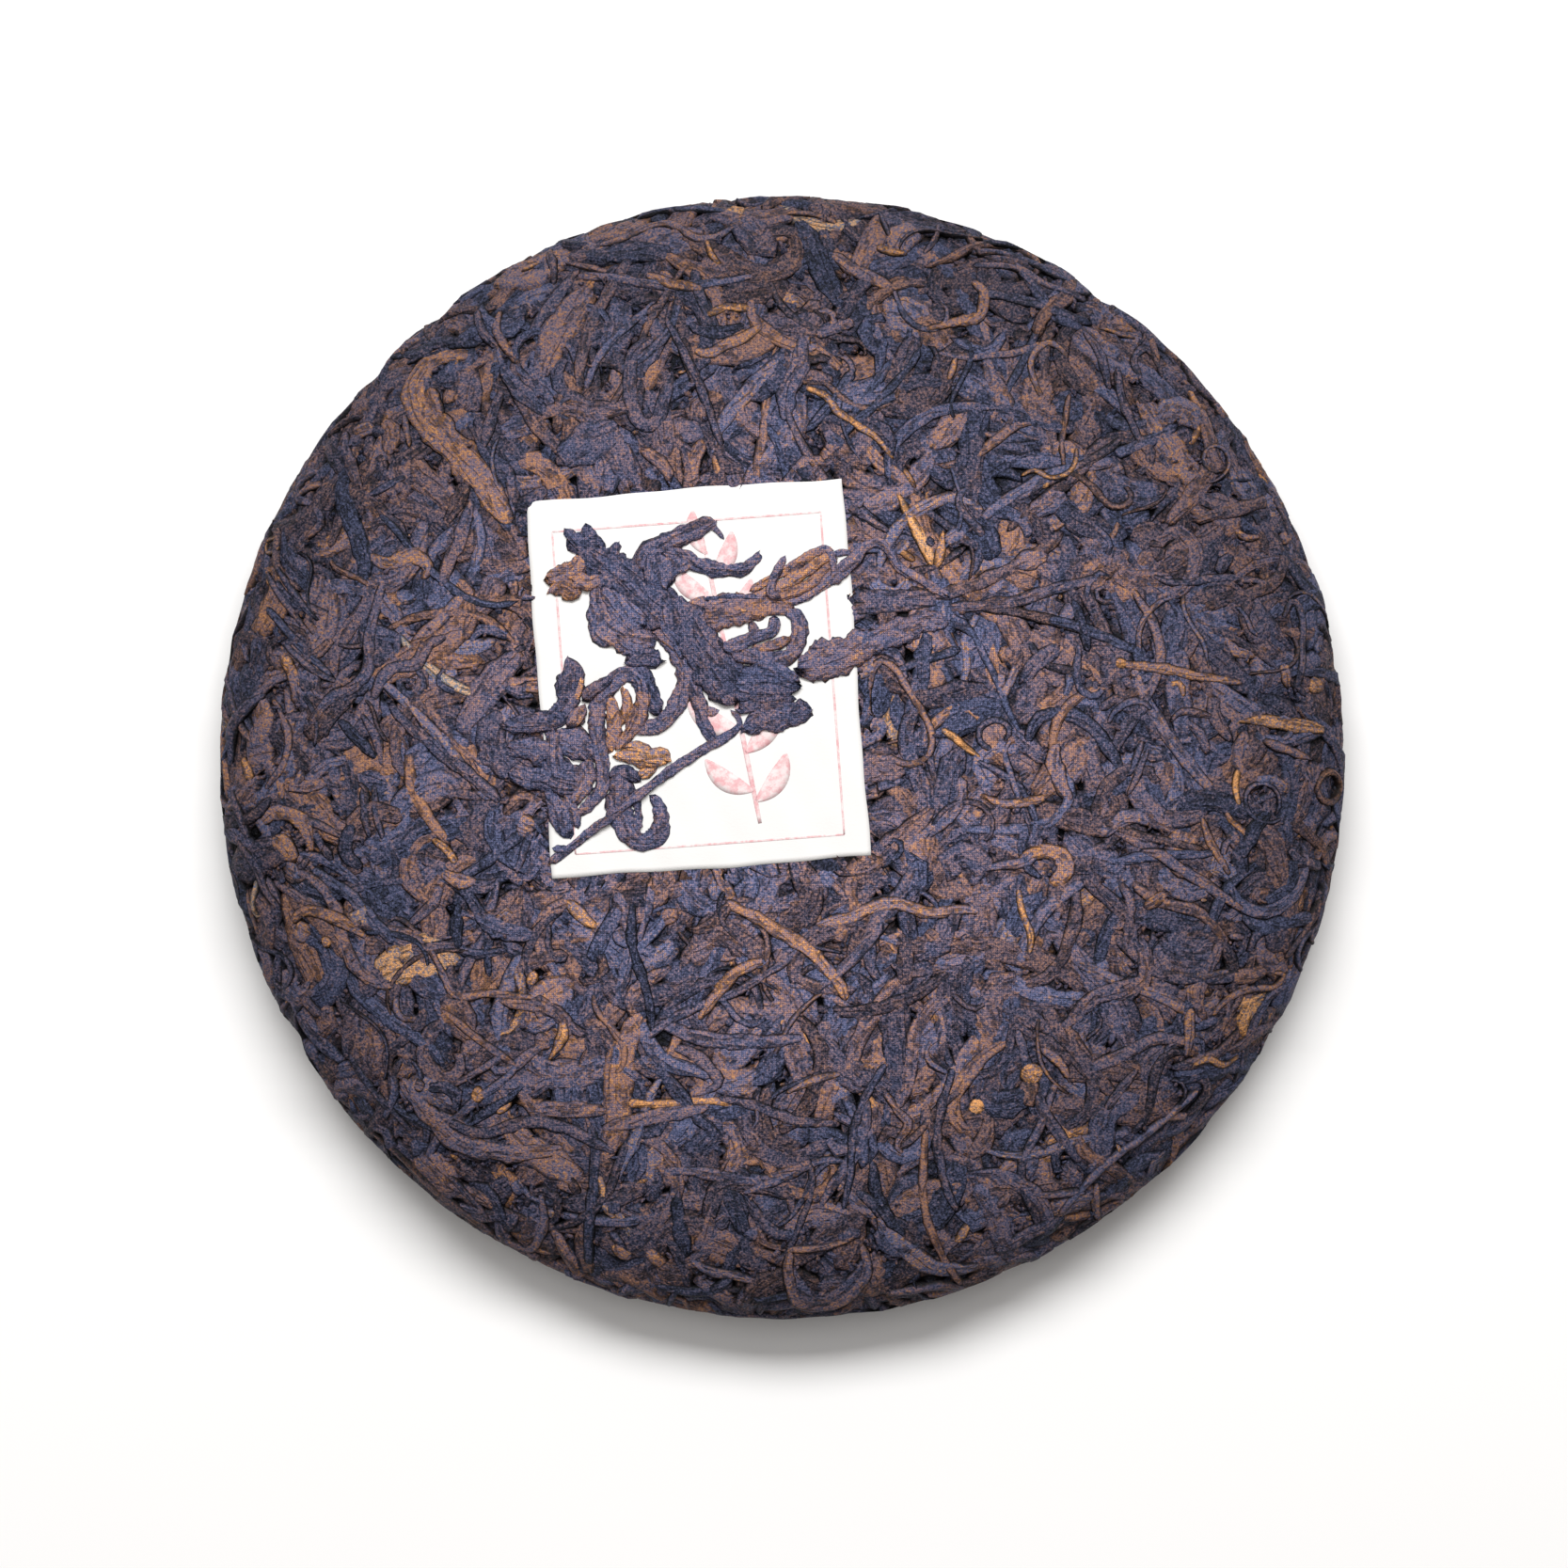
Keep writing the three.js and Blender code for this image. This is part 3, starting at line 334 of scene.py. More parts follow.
# Leaves over the ticket, one for each solid: tone of the leaf, and its strands. A strand is a
# list of (x, y, width) or (x, y, width, rise), with a tone of its own where it ends in one.
TICKET_LEAVES = {
    "leaf_twisted": (0.36, [
        [(-36.3, 38.6, 4.2), (-33.2, 35.4, 5.8), (-29.6, 32.4, 7.4), (-25.6, 28.8, 8.6), (-22, 25.6, 8.6),
         (-19.4, 22.6, 5)],
        [(-38, 39.9, 1.3), (-36.6, 38.4, 2.2), (-34.6, 36.4, 2.4)],
        [(-34.4, 40.6, 1.5), (-33.8, 38.8, 2.8), (-31.6, 36.4, 3)],
        [(-28.5, 37.8, 1.1), (-29.2, 36.4, 2), (-29, 34.8, 2)],
        [(-33.6, 36.4, 1.2, 0.3), (-28.8, 32.2, 2, 0.4), (-23.8, 27, 2.4, 0.4),
         (-20.4, 23.2, 1.6, 0.3), 0.42],
        [(-31.8, 33, 1.2, 0.25), (-27.6, 28.4, 1.8, 0.3), (-24.6, 24.6, 1.6, 0.3), 0.28],
    ]),
    "leaf_band": (0.36, [
        [(-18.8, 28.2, 3, 0.5), (-17.6, 25, 6.4, 0.6), (-15.6, 21.2, 7.4, 0.6), (-13, 17, 7.6, 0.6),
         (-10.6, 13, 7.8, 0.5), (-8.6, 9.6, 5.4, 0.4)],
        [(-21, 26.4, 1.6, 0.4), (-19.6, 22.6, 2.8, 0.5), (-16.8, 17.4, 2.4, 0.5), 0.42],
        [(-17.4, 26.8, 1, 0.85), (-14.4, 21, 1.4, 0.9), (-11, 14.6, 1, 0.8), 0.44],
    ]),
    "leaf_fan": (0.36, [
        [(-12.4, 12, 3.6, 0.1), (-8, 12.8, 6.8, 0.2), (-3, 12.8, 6.6, 0.3), (0.4, 12.6, 4.6, 0.3),
         (2.8, 12.5, 3, 0.3)],
        [(-6.9, 4.4, 2.4), (-4.6, 6, 4.2), (-1, 6.9, 4.5), (3.2, 7.9, 4.3), (5, 8.4, 3.6), 0.40],
        [(-4.6, 16.2, 1.6, 0.5), (-1, 15.2, 2.6, 0.5), (2.7, 13.4, 2, 0.5), 0.48],
        [(-7.6, 8.6, 2.4, 0.1), (-4, 9.6, 3.2, 0.1), (-0.6, 10.2, 2.6, 0.1), (2, 10.2, 1.6), 0.33],
    ]),
    "leaf_curled": (0.64, [
        [(-41, 31.2, 2.6), (-38.6, 31.8, 3.4), (-36.2, 33, 3.8), (-35.2, 35.6, 1.8)],
        [(-40.8, 28.6, 1.8, 0.2), (-38.4, 29.6, 3.2, 0.2), (-36.4, 28.6, 2.8, 0.2), (-35.4, 29.6, 1.6, 0.2)],
        [(-37, 31.2, 2.8, 0.3), (-34, 30.4, 3.2, 0.3), (-31.8, 31.4, 1.8, 0.3)],
    ]),
    "leaf_folded": (0.50, [
        [(-32.4, 30.2, 1.4), (-32.4, 27, 3.6), (-31, 23.6, 6), (-27.8, 21.6, 7.2), (-25, 20.4, 6),
         (-22.4, 20.6, 3.2)],
        [(-31.4, 29.8, 1.6, 0.3), (-29.2, 27.2, 4, 0.3), (-27, 24.8, 6, 0.3), (-24, 22.4, 5, 0.2)],
        [(-28.4, 18.6, 1.6), (-25.6, 19, 2.8), (-22.8, 19.8, 2.4)],
    ]),
    "leaf_forked": (0.46, [
        [(-11.6, 41.4, 2.2), (-14.2, 40.2, 3), (-17.4, 38.8, 3.7), (-20.6, 37.4, 3.4), (-23.2, 36.2, 3.6),
         (-24.2, 34.4, 3.4), (-24.4, 32.4, 2.4)],
        [(-20.4, 36, 2.8), (-16.8, 34.8, 2.9), (-13.6, 33.2, 2.9), (-10, 32.6, 2.6), (-6.5, 33, 2.3),
         (-4.8, 34.4, 1.8), (-4, 36, 1.1)],
        [(-22, 36, 3.6, 0.2), (-21.4, 32.8, 5.6, 0.3), (-20.2, 29.2, 4, 0.4)],
        [(-21, 31.6, 2.2, 0.2), (-18.4, 33.2, 2.8, 0.2), (-16.2, 33.9, 1.6, 0.2)],
        [(-12.8, 41, 1.1), (-11.4, 39.6, 1), (-10.2, 38.1, 0.6)],
        [(-24.9, 36.1, 0.9), (-25.4, 34.2, 1.6), (-25.8, 33, 1.8)],
    ]),
    "leaf_veined": (0.57, [
        [(-17.4, 26.2, 3), (-13.4, 25, 6.4), (-9, 25.6, 6), (-4.6, 26.4, 4.6), (-1, 26.6, 3.8),
         (1.6, 25.6, 2)],
        [(-9.2, 25.8, 0.5, 0.32), (-6, 25.6, 0.7, 0.36), (-3.4, 25.9, 0.5, 0.32), 0.82],
        [(-13.6, 27.6, 0.8, 0.2), (-8, 28, 1.2, 0.2), (-3, 27.8, 0.8, 0.2), 0.42],
    ]),
    "leaf_bundle": (0.62, [
        [(-5.6, 29.1, 1.2), (-1.2, 31.6, 1.9), (3, 34.1, 1.9), (6, 35.9, 1.7), (8.8, 36.2, 1)],
        [(-5, 28, 1.4), (-0.4, 29.9, 2.2, 0.2), (4, 32.4, 2.2, 0.2), (7, 34.6, 1.8, 0.2),
         (9.2, 35.6, 1), 0.68],
        [(-3.4, 27.2, 1.4), (1.2, 28.5, 2.1, 0.1), (5, 30.6, 2, 0.1), (8, 33.2, 1.7, 0.1),
         (9.6, 34.9, 1.1), 0.58],
        [(-0.4, 26.7, 0.9), (3.2, 27.7, 1.6), (6.6, 29.8, 1.8), (8.4, 31.4, 3.1), (11, 33.2, 2.9),
         (12.8, 35, 2.3), (14.6, 37, 1.8), (16.8, 37.5, 1.7), (18.8, 35.6, 1.6), (20.6, 33, 1.7),
         (23.4, 31.4, 1.7), (26.4, 29.6, 1.6), (29, 28.2, 1.3), 0.54],
        [(5.6, 36.1, 1), (7.4, 36.6, 1.2), (8.6, 35, 1.3, 0.3), (8.9, 32.6, 1.2, 0.5),
         (8.2, 30.8, 1, 0.4), 0.5],
        [(8.4, 35.2, 1), (10.4, 35.8, 1.2), (12.3, 35.6, 0.9), 0.5],
    ]),
    "stem_hook": (0.46, [
        [(0.4, 35.1, 0.9), (-0.8, 32.8, 1.6, 0.5), (-1.9, 30, 1.6, 0.9), (-2, 28.5, 1.8, 0.9),
         (-0.5, 27.9, 1.4, 0.8)],
    ]),
    "leaf_ring": (0.48, [
        [(0.8, 26, 2.2), (2.9, 24, 3), (3, 21.4, 2.9), (2.2, 19, 3.1), (0.6, 17.4, 3), (-2.4, 17, 3),
         (-5.6, 17.6, 3.2), (-9.6, 18.6, 2.8)],
        [(-1.4, 24.4, 1.8, 0.2), (-1.7, 22.4, 2.2, 0.2), (-4, 21.1, 2.2, 0.3), (-6.6, 20.3, 2.6, 0.3),
         (-9, 19.4, 2.6, 0.2), (-10.8, 19.7, 1.4)],
        [(-5.4, 23.6, 1.6, 0.1), (-4.8, 21.6, 1.9, 0.2)],
        [(1.2, 21.2, 1.3, 0.2), (-0.2, 20, 1.9, 0.3), (-2.8, 19.3, 2, 0.3), (-5.2, 19, 1.6, 0.2), 0.6],
    ]),
    "leaf_blunt": (0.51, [
        [(2.8, 15.8, 4), (5.4, 16.4, 6.6), (8.7, 17.4, 7.2), (12, 18.6, 6.2), (15, 20, 4.8),
         (18.6, 21.2, 4.8), (22.2, 22.8, 4.6), (25.8, 23.9, 4.2), (28.4, 23.6, 2.2)],
        [(6, 18.4, 0.8, 0.3), (12, 20.2, 1.2, 0.3), (18, 22.4, 0.9, 0.2), 0.52],
    ]),
    "stem_long": (0.47, [
        [(-40.4, -18.3, 1.6), (-36.7, -15.4, 1.6), (-30.1, -10.4, 1.6, 0.7), (-25, -6.4, 1.7, 0.7),
         (-20.3, -2.9, 1.8, 0.2), (-15.2, 0.6, 1.9), (-11.1, 2.9, 1.8), (-9, 4.2, 1.6), (-7.5, 5.8, 1.1),
         (-7.9, 7.2, 0.9), (-9, 8.2, 0.9)],
        [(-40.1, -15.7, 0.9), (-38.6, -16, 1.4), (-37.4, -15.6, 1.2)],
    ]),
    "leaf_hook": (0.45, [
        [(-28.2, -2.6, 3.8), (-28.3, -6, 5.2), (-28.3, -9.4, 4.8), (-27.3, -12.4, 4.2), (-24.8, -14.6, 3.6),
         (-22, -13.8, 3.4), (-21.2, -11, 3.1), (-21.6, -8.4, 2.6), (-23, -6.8, 1.3)],
        [(-25.6, -6.4, 1.8), (-25.2, -10, 1.6), (-25.6, -12.8, 2)],
        [(-30.3, -3.3, 1.4, 0.2), (-27.6, -2.5, 2.8, 0.2), (-25, -4, 1.8, 0.2), 0.3],
    ]),
    "bud_gold": (0.80, [
        [(-29.4, 0.3, 1.2), (-26.5, 0.4, 3.2), (-23.4, 0, 4.1), (-20.9, 0, 3.2), (-19.6, -0.5, 1.4)],
        [(-27.8, 1.8, 1.2, 0.2), (-25.6, 2.1, 1.7, 0.2), (-23, 1.6, 1.2, 0.2)],
        [(-25.2, -3.4, 1.3), (-23.6, -2.4, 2.3), (-22, -1.6, 1.5)],
    ]),
    "leaf_arch": (0.49, [
        [(-35.5, -10, 1.2), (-33.5, -8, 2.4), (-31.9, -6, 2.6), (-31.2, -2.4, 2.7), (-31.8, 1.2, 2.9),
         (-32.4, 5.8, 3), (-31.8, 10, 3.1), (-29.6, 13.2, 3.2), (-27, 14.4, 3.1), (-24.9, 13.4, 3.1),
         (-24.2, 10.4, 2.9)],
        [(-24.3, 12.2, 2.6, 0.1), (-24.3, 10, 3, 0.1), (-25.2, 7, 3.2, 0.1), (-27, 4, 2.6, 0.1),
         (-29, 1.4, 1.4, 0.1), 0.56],
    ]),
    "blade_gold": (0.66, [
        [(-30.2, 11, 1.4), (-29.5, 7.4, 2.8), (-29.6, 3.6, 2.4), (-30.2, 0.9, 1.2)],
        [(-27.8, 12.4, 1.6), (-27.1, 9, 2), (-27.8, 5.8, 1.4)],
    ]),
    "leaf_corner": (0.38, [
        [(-37.3, 17.2, 2.2), (-36.8, 14.6, 4.4), (-37.2, 11.2, 4.6), (-38, 8.8, 4.2), (-39.8, 6.9, 3.8),
         (-42.4, 6.1, 3.6), (-45.4, 5.9, 3.4), (-48.8, 6, 2.4)],
        [(-35, 14.3, 0.7, 0.35), (-35.5, 12, 1.3, 0.35), (-36.1, 9.8, 0.8, 0.3), 0.7],
        [(-34.7, 9, 1.8, 0.2), (-36, 7, 3, 0.3), (-37.6, 5.4, 2, 0.2), 0.55],
    ]),
    "leaf_slip": (0.38, [
        [(-30, 13.8, 2, 0.7), (-32.3, 12.2, 2.4, 0.6), (-34.8, 10.2, 1.9, 0.4)],
    ]),
    "leaf_crumpled": (0.46, [
        [(-41.4, 4.2, 2.8), (-38, 2.8, 5.4), (-35.2, 1.8, 5.6), (-33.5, 0, 3.4)],
        [(-43, -2.2, 3.2, 0.2), (-38.8, -3.2, 6.2, 0.2), (-35.6, -3.8, 5.4, 0.2),
         (-33.3, -5, 2.6, 0.2), 0.40],
        [(-39.6, 4.8, 1.8, 0.4), (-39.8, 0, 3.4, 0.4), (-39.4, -4.4, 2.8, 0.3), (-38.8, -6.8, 1.8)],
        [(-47.6, 1.8, 2.6), (-43, 1.3, 4.8), (-39.6, 0.4, 4)],
        [(-47.4, -2.8, 3), (-42.8, -3.8, 4.4), (-39, -5.4, 2.8), 0.38],
        [(-34, -0.4, 2.6, 0.4), (-34.4, -4, 3.2, 0.4), (-36.6, -8, 2.2, 0.2), 0.55],
    ]),
    "leaf_streaked": (0.49, [
        [(-22.4, 21.7, 2), (-19.4, 19.9, 3.2), (-17.5, 17, 3.5), (-17.1, 13.4, 3.2), (-18.2, 10, 3),
         (-19.5, 7.4, 3.2), (-22.4, 5.6, 3), (-25.5, 4.5, 1.8)],
        [(-26.8, 16.8, 3, 0.2), (-23.8, 17.4, 4.2, 0.2), (-20.8, 17, 2.6, 0.2), 0.36],
        [(-25.4, 16.4, 3.4), (-23.6, 13, 3.2), (-22.6, 10.4, 2.8), (-21.4, 7.8, 2.8), 0.36],
        [(-21.2, 20.8, 0.7, 0.35), (-18.4, 18.4, 0.9, 0.4), (-16.9, 15, 0.7, 0.4), 0.62],
    ]),
    "leaf_strip": (0.42, [
        [(-16.8, 16, 2), (-15.4, 12, 2.9), (-14.4, 9, 2.6), (-13.8, 6, 2.4), (-12.6, 3.9, 2),
         (-11.5, 2.7, 1)],
        [(-13.6, 8.8, 1.2), (-12.4, 8, 1.7), (-11.2, 8.3, 0.9), 0.55],
    ]),
    "leaf_short": (0.44, [
        [(-41, -5.4, 1.6), (-39.4, -8.6, 3.6), (-38.2, -11.6, 3.8), (-37.2, -13.9, 2.2)],
        [(-37.8, -6, 1.4, 0.2), (-36.6, -9.2, 2.4, 0.2), (-35.8, -12.2, 1.4), 0.5],
    ]),
}

# Leaves over the ticket that are given the slot golden_leaf
GOLDEN = ("leaf_curled", "leaf_bundle", "bud_gold", "blade_gold")

# Size of a crumb before it is stretched, and how far from the middle of a side crumbs lie
CRUMB_SIZE = 1.0
CRUMB_REACH = 93

# Stage, in metres: half the width of the floor, and the lamps with their place, width, depth and
# power
FLOOR_HALF = 2.5
LAMPS = {
    "upper_softbox": ((0.0, 0.98, 1.30), 1.70, 0.56, 32.0),
    "overhead": ((-0.1, 0.15, 1.6), 1.2, 1.2, 6.5),
}

# Colour and strength of the light from all round
SKY = (1.0, 0.94, 0.89)
SKY_STRENGTH = 0.17

# Where the camera stands beside the cake's axis, in metres
CAMERA_X, CAMERA_Y = 0.00025, -0.0046


def colour(name, description, default):
    """A colour that the user sets."""
    return FloatVectorProperty(name=name, description=description, subtype="COLOR", default=default)


class TeaCakeSettings(bpy.types.PropertyGroup):
    """Sizes, counts and colours of the cake that a user would change."""

    seed: IntProperty(name="Seed", description="Which random laying of the leaves", default=7, min=0)
    fill: FloatProperty(
        name="Fill", description="Share of the pressed leaves that are laid", default=1.0, min=0.1, max=1.5
    )
    press: FloatProperty(
        name="Press",
        description="Height over the smooth outline that the press leaves, in millimetres",
        default=0.16,
        min=0.0,
        max=1.0,
    )
    crumbs: IntProperty(name="Crumbs", description="Count of crumbs in the gaps", default=900, min=0)
    weave: FloatProperty(
        name="Weave", description="Pitch of the cloth print in millimetres", default=0.36, min=0.1, max=2.0
    )
    dark_leaf: colour("Dark Leaf", "Colour of the darkest leaf", (0.014, 0.012, 0.016))
    violet_leaf: colour("Violet Leaf", "Colour of most leaves", (0.146, 0.120, 0.148))
    brown_leaf: colour("Brown Leaf", "Colour of the brown leaves", (0.27, 0.205, 0.205))
    gold_leaf: colour("Golden Leaf", "Colour of buds and flakes", (0.62, 0.46, 0.29))
    paper: colour("Paper", "Colour of the ticket", (0.84, 0.825, 0.81))
    ink: colour("Ink", "Colour of the ticket's faded print", (0.76, 0.40, 0.42))


class TeaStageSettings(bpy.types.PropertyGroup):
    """Floor and camera."""

    floor: colour("Floor", "Colour of the floor", (0.90, 0.895, 0.89))
    lens: FloatProperty(name="Lens", description="Focal length in millimetres", default=110.0, min=20.0)
    field: FloatProperty(
        name="Field", description="Width that the camera sees", default=0.2778, min=0.05, subtype="DISTANCE"
    )


# Curves and noise


def through(points, count):
    """Evenly spaced rows on a smooth curve through the points; every column is carried along."""
    p = np.asarray(points, float)
    padded = np.vstack([2 * p[0] - p[1], p, 2 * p[-1] - p[-2]])
    t = np.linspace(0, len(p) - 1, 24 * len(p))
    i = np.minimum(t.astype(int), len(p) - 2)
    f = (t - i)[:, None]
    a, b, c, d = (padded[i + k] for k in range(4))
    square, cube = 2 * a - 5 * b + 4 * c - d, 3 * b - a - 3 * c + d
    curve = 0.5 * (2 * b + (c - a) * f + square * f**2 + cube * f**3)
    run = np.r_[0, np.cumsum(np.hypot(*np.diff(curve[:, :2], axis=0).T))]
    wanted = np.linspace(0, run[-1], count)
    return np.column_stack([np.interp(wanted, run, column) for column in curve.T]), run[-1]


def headings(path):
    """Unit steps along a path, and unit steps to the left of it."""
    step = np.gradient(path, axis=0)
    step /= np.maximum(np.hypot(*step.T), 1e-6)[:, None]
    return step, np.column_stack([-step[:, 1], step[:, 0]])


def smoothed(values, rounds):
    """Values averaged with their neighbours, so many times."""
    for _ in range(rounds):
        values = np.convolve(np.pad(values, 1, "edge"), (0.25, 0.5, 0.25), "valid")
    return values


def between(pair, share):
    """The number that lies at a share of the way from one to the other."""
    return pair[0] + (pair[1] - pair[0]) * share


def ripple(x, rng, pitch, parts=3):
    """Smooth noise of about unit size along x, with waves around the given pitch."""
    total = np.zeros_like(x)
    for _ in range(parts):
        total += np.sin(x * 2 * math.pi / (pitch * rng.uniform(0.6, 1.7)) + rng.uniform(0, 2 * math.pi))
    return total / parts


def blurred(grid, radius):
    """The grid averaged over a square of the given radius in cells, twice."""
    for _ in range(2):
        for axis in (0, 1):
            border = [(radius + 1, radius) if a == axis else (0, 0) for a in (0, 1)]
            total = np.cumsum(np.pad(grid, border, "edge"), axis)
            span = 2 * radius + 1
            n = grid.shape[axis]
            high = np.take(total, np.arange(span, span + n), axis)
            low = np.take(total, np.arange(0, n), axis)
            grid = (high - low) / span
    return grid


# The cake's skin


def cake_outline():
    """Outline of the cake as radius and height, from the hollow's middle to the top's middle."""
    points = [
        (0, HOLLOW_DEPTH),
        (0.36 * HOLLOW_RADIUS, 0.95 * HOLLOW_DEPTH),
        (0.66 * HOLLOW_RADIUS, 0.70 * HOLLOW_DEPTH),
        (HOLLOW_RADIUS, 0.24 * HOLLOW_DEPTH),
        (0.42 * CAKE_RADIUS, 0.02 * CAKE_TOP),
        (0.60 * CAKE_RADIUS, 0),
        (0.76 * CAKE_RADIUS, 0.015 * CAKE_TOP),
        (0.88 * CAKE_RADIUS, 0.25 * EQUATOR),
        (0.965 * CAKE_RADIUS, 0.62 * EQUATOR),
        (0.996 * CAKE_RADIUS, EQUATOR),
        (0.975 * CAKE_RADIUS, 0.62 * CAKE_TOP),
        (0.91 * CAKE_RADIUS, 0.77 * CAKE_TOP),
        (0.80 * CAKE_RADIUS, 0.87 * CAKE_TOP),
        (0.60 * CAKE_RADIUS, 0.95 * CAKE_TOP),
        (0.30 * CAKE_RADIUS, 0.99 * CAKE_TOP),
        (0, CAKE_TOP),
    ]
    return through(points, 700)[0]


def rim_reach(turn):
    """How far the leaves reach in a direction: a little uneven, with a few small notches."""
    uneven = 0.20 * np.sin(23 * turn + 1) + 0.16 * np.sin(41 * turn + 2) + 0.14 * np.sin(67 * turn)
    across, along = np.cos(turn), np.sin(turn)
    most = across**2 * np.where(across < 0, *REACH_X) + along**2 * np.where(along < 0, *REACH_Y)
    reach = most - RIM_ROOM + uneven * 0.6
    for x, y, deep in NOTCHES:
        away = (turn - math.atan2(y, x) + math.pi) % (2 * math.pi) - math.pi
        reach = reach - deep * np.exp(-((away / 0.028) ** 2))
    return reach


def above_ground(z):
    """Heights of which the lowest are flattened softly towards the ground."""
    room = NEAR_GROUND - GROUND
    flattened = GROUND + room * np.exp((np.minimum(z, NEAR_GROUND) - NEAR_GROUND) / room)
    return np.where(z < NEAR_GROUND, flattened, z)


class Skin:
    """The cake's surface unrolled flat from the middle of its top or of its hollow."""

    def __init__(self, outline, from_top):
        slope = np.gradient(outline, axis=0)
        slope /= np.linalg.norm(slope, axis=1)[:, None]
        normal = np.column_stack([slope[:, 1], -slope[:, 0]])
        if from_top:
            outline, normal = outline[::-1], normal[::-1]
        self.radius, self.height = np.maximum(outline[:, 0], 0), outline[:, 1]
        self.out, self.up = normal.T
        self.run = np.r_[0, np.cumsum(np.hypot(*np.diff(outline, axis=0).T))]

    def unrolled(self, x, y):
        """Where a point seen from above or below lies on the unrolled skin, inside the rim."""
        r = np.hypot(x, y)
        widest = int(np.argmax(self.radius))
        run = np.interp(r, self.radius[:widest], self.run[:widest])
        scale = run / np.maximum(r, 1e-6)
        return x * scale, y * scale

    def place(self, x, y, lift):
        """Points in metres over the unrolled places, lifted along the skin's normal."""
        run = np.hypot(x, y)
        cos, sin = x / np.maximum(run, 1e-6), y / np.maximum(run, 1e-6)
        r = np.interp(run, self.run, self.radius) + lift * np.interp(run, self.run, self.out)
        z = np.interp(run, self.run, self.height) + lift * np.interp(run, self.run, self.up)
        r = np.clip(r, 0, rim_reach(np.arctan2(y, x)))
        return np.stack([r * cos, r * sin, above_ground(z)], axis=-1) * MM


# Leaves


def uneven_edge(half, run, rng):
    """Half widths along one side of a leaf, with slow and quick waves."""
    return half * (1 + 0.22 * ripple(run, rng, 6.0) + 0.12 * ripple(run, rng, 2.6))


class Leaf:
    """Upper side of one leaf on the unrolled skin: rings of places and levels across its path.

    half and crown give the half width and the level of the crown along the path, drop how far the
    edges lie below the crown, and boxy how flat the section is. Without a seed it draws its own.
    """

    def __init__(self, kind, path, half, crown, drop, boxy, rng, tone, ridges=1.0, seed=0.0):
        side = headings(path)[1]
        run = np.r_[0, np.cumsum(np.hypot(*np.diff(path, axis=0).T))]
        left = uneven_edge(half, run, rng)
        right = uneven_edge(half, run, rng)
        v = ACROSS[None, :]
        width = np.where(v < 0, left[:, None], right[:, None])
        x = path[:, :1] + side[:, :1] * v * width
        y = path[:, 1:2] + side[:, 1:2] * v * width
        dome = (1 - np.abs(v) ** boxy) ** (1 / 2.2)
        shape = np.clip(half / max(half.max(), 1e-6), 0.15, 1)[:, None] ** 0.7
        twist = rng.uniform(-1, 1) * 2.0 * run / max(run[-1], 1)
        ridge = np.cos(v * math.pi * ridges + rng.uniform(0, 6.28) + twist[:, None] * 2)
        ridge = ridge * (1 - v**2) * 0.14 * drop
        tilt = rng.uniform(-0.16, 0.16) * v * drop
        offset = v * width
        lumps = np.zeros_like(offset)
        for pitch in (6.0, 4.0, 2.8):
            way = rng.uniform(0, math.pi)
            wave = (run[:, None] * math.cos(way) + offset * math.sin(way)) * 2 * math.pi / pitch
            lumps += np.sin(wave + rng.uniform(0, 2 * math.pi)) * 0.05 * drop * (1 - 0.6 * v**2)
        h = crown[:, None] - drop * (1 - dome * shape) + ridge + tilt + lumps
        self.kind, self.drop, self.rings = kind, drop, len(path)
        self.x, self.y, self.h = x, y, h
        self.path, self.run, self.half, self.offset = path, run, half, offset
        self.tone, self.seed = tone, seed or rng.uniform(0.05, 1)


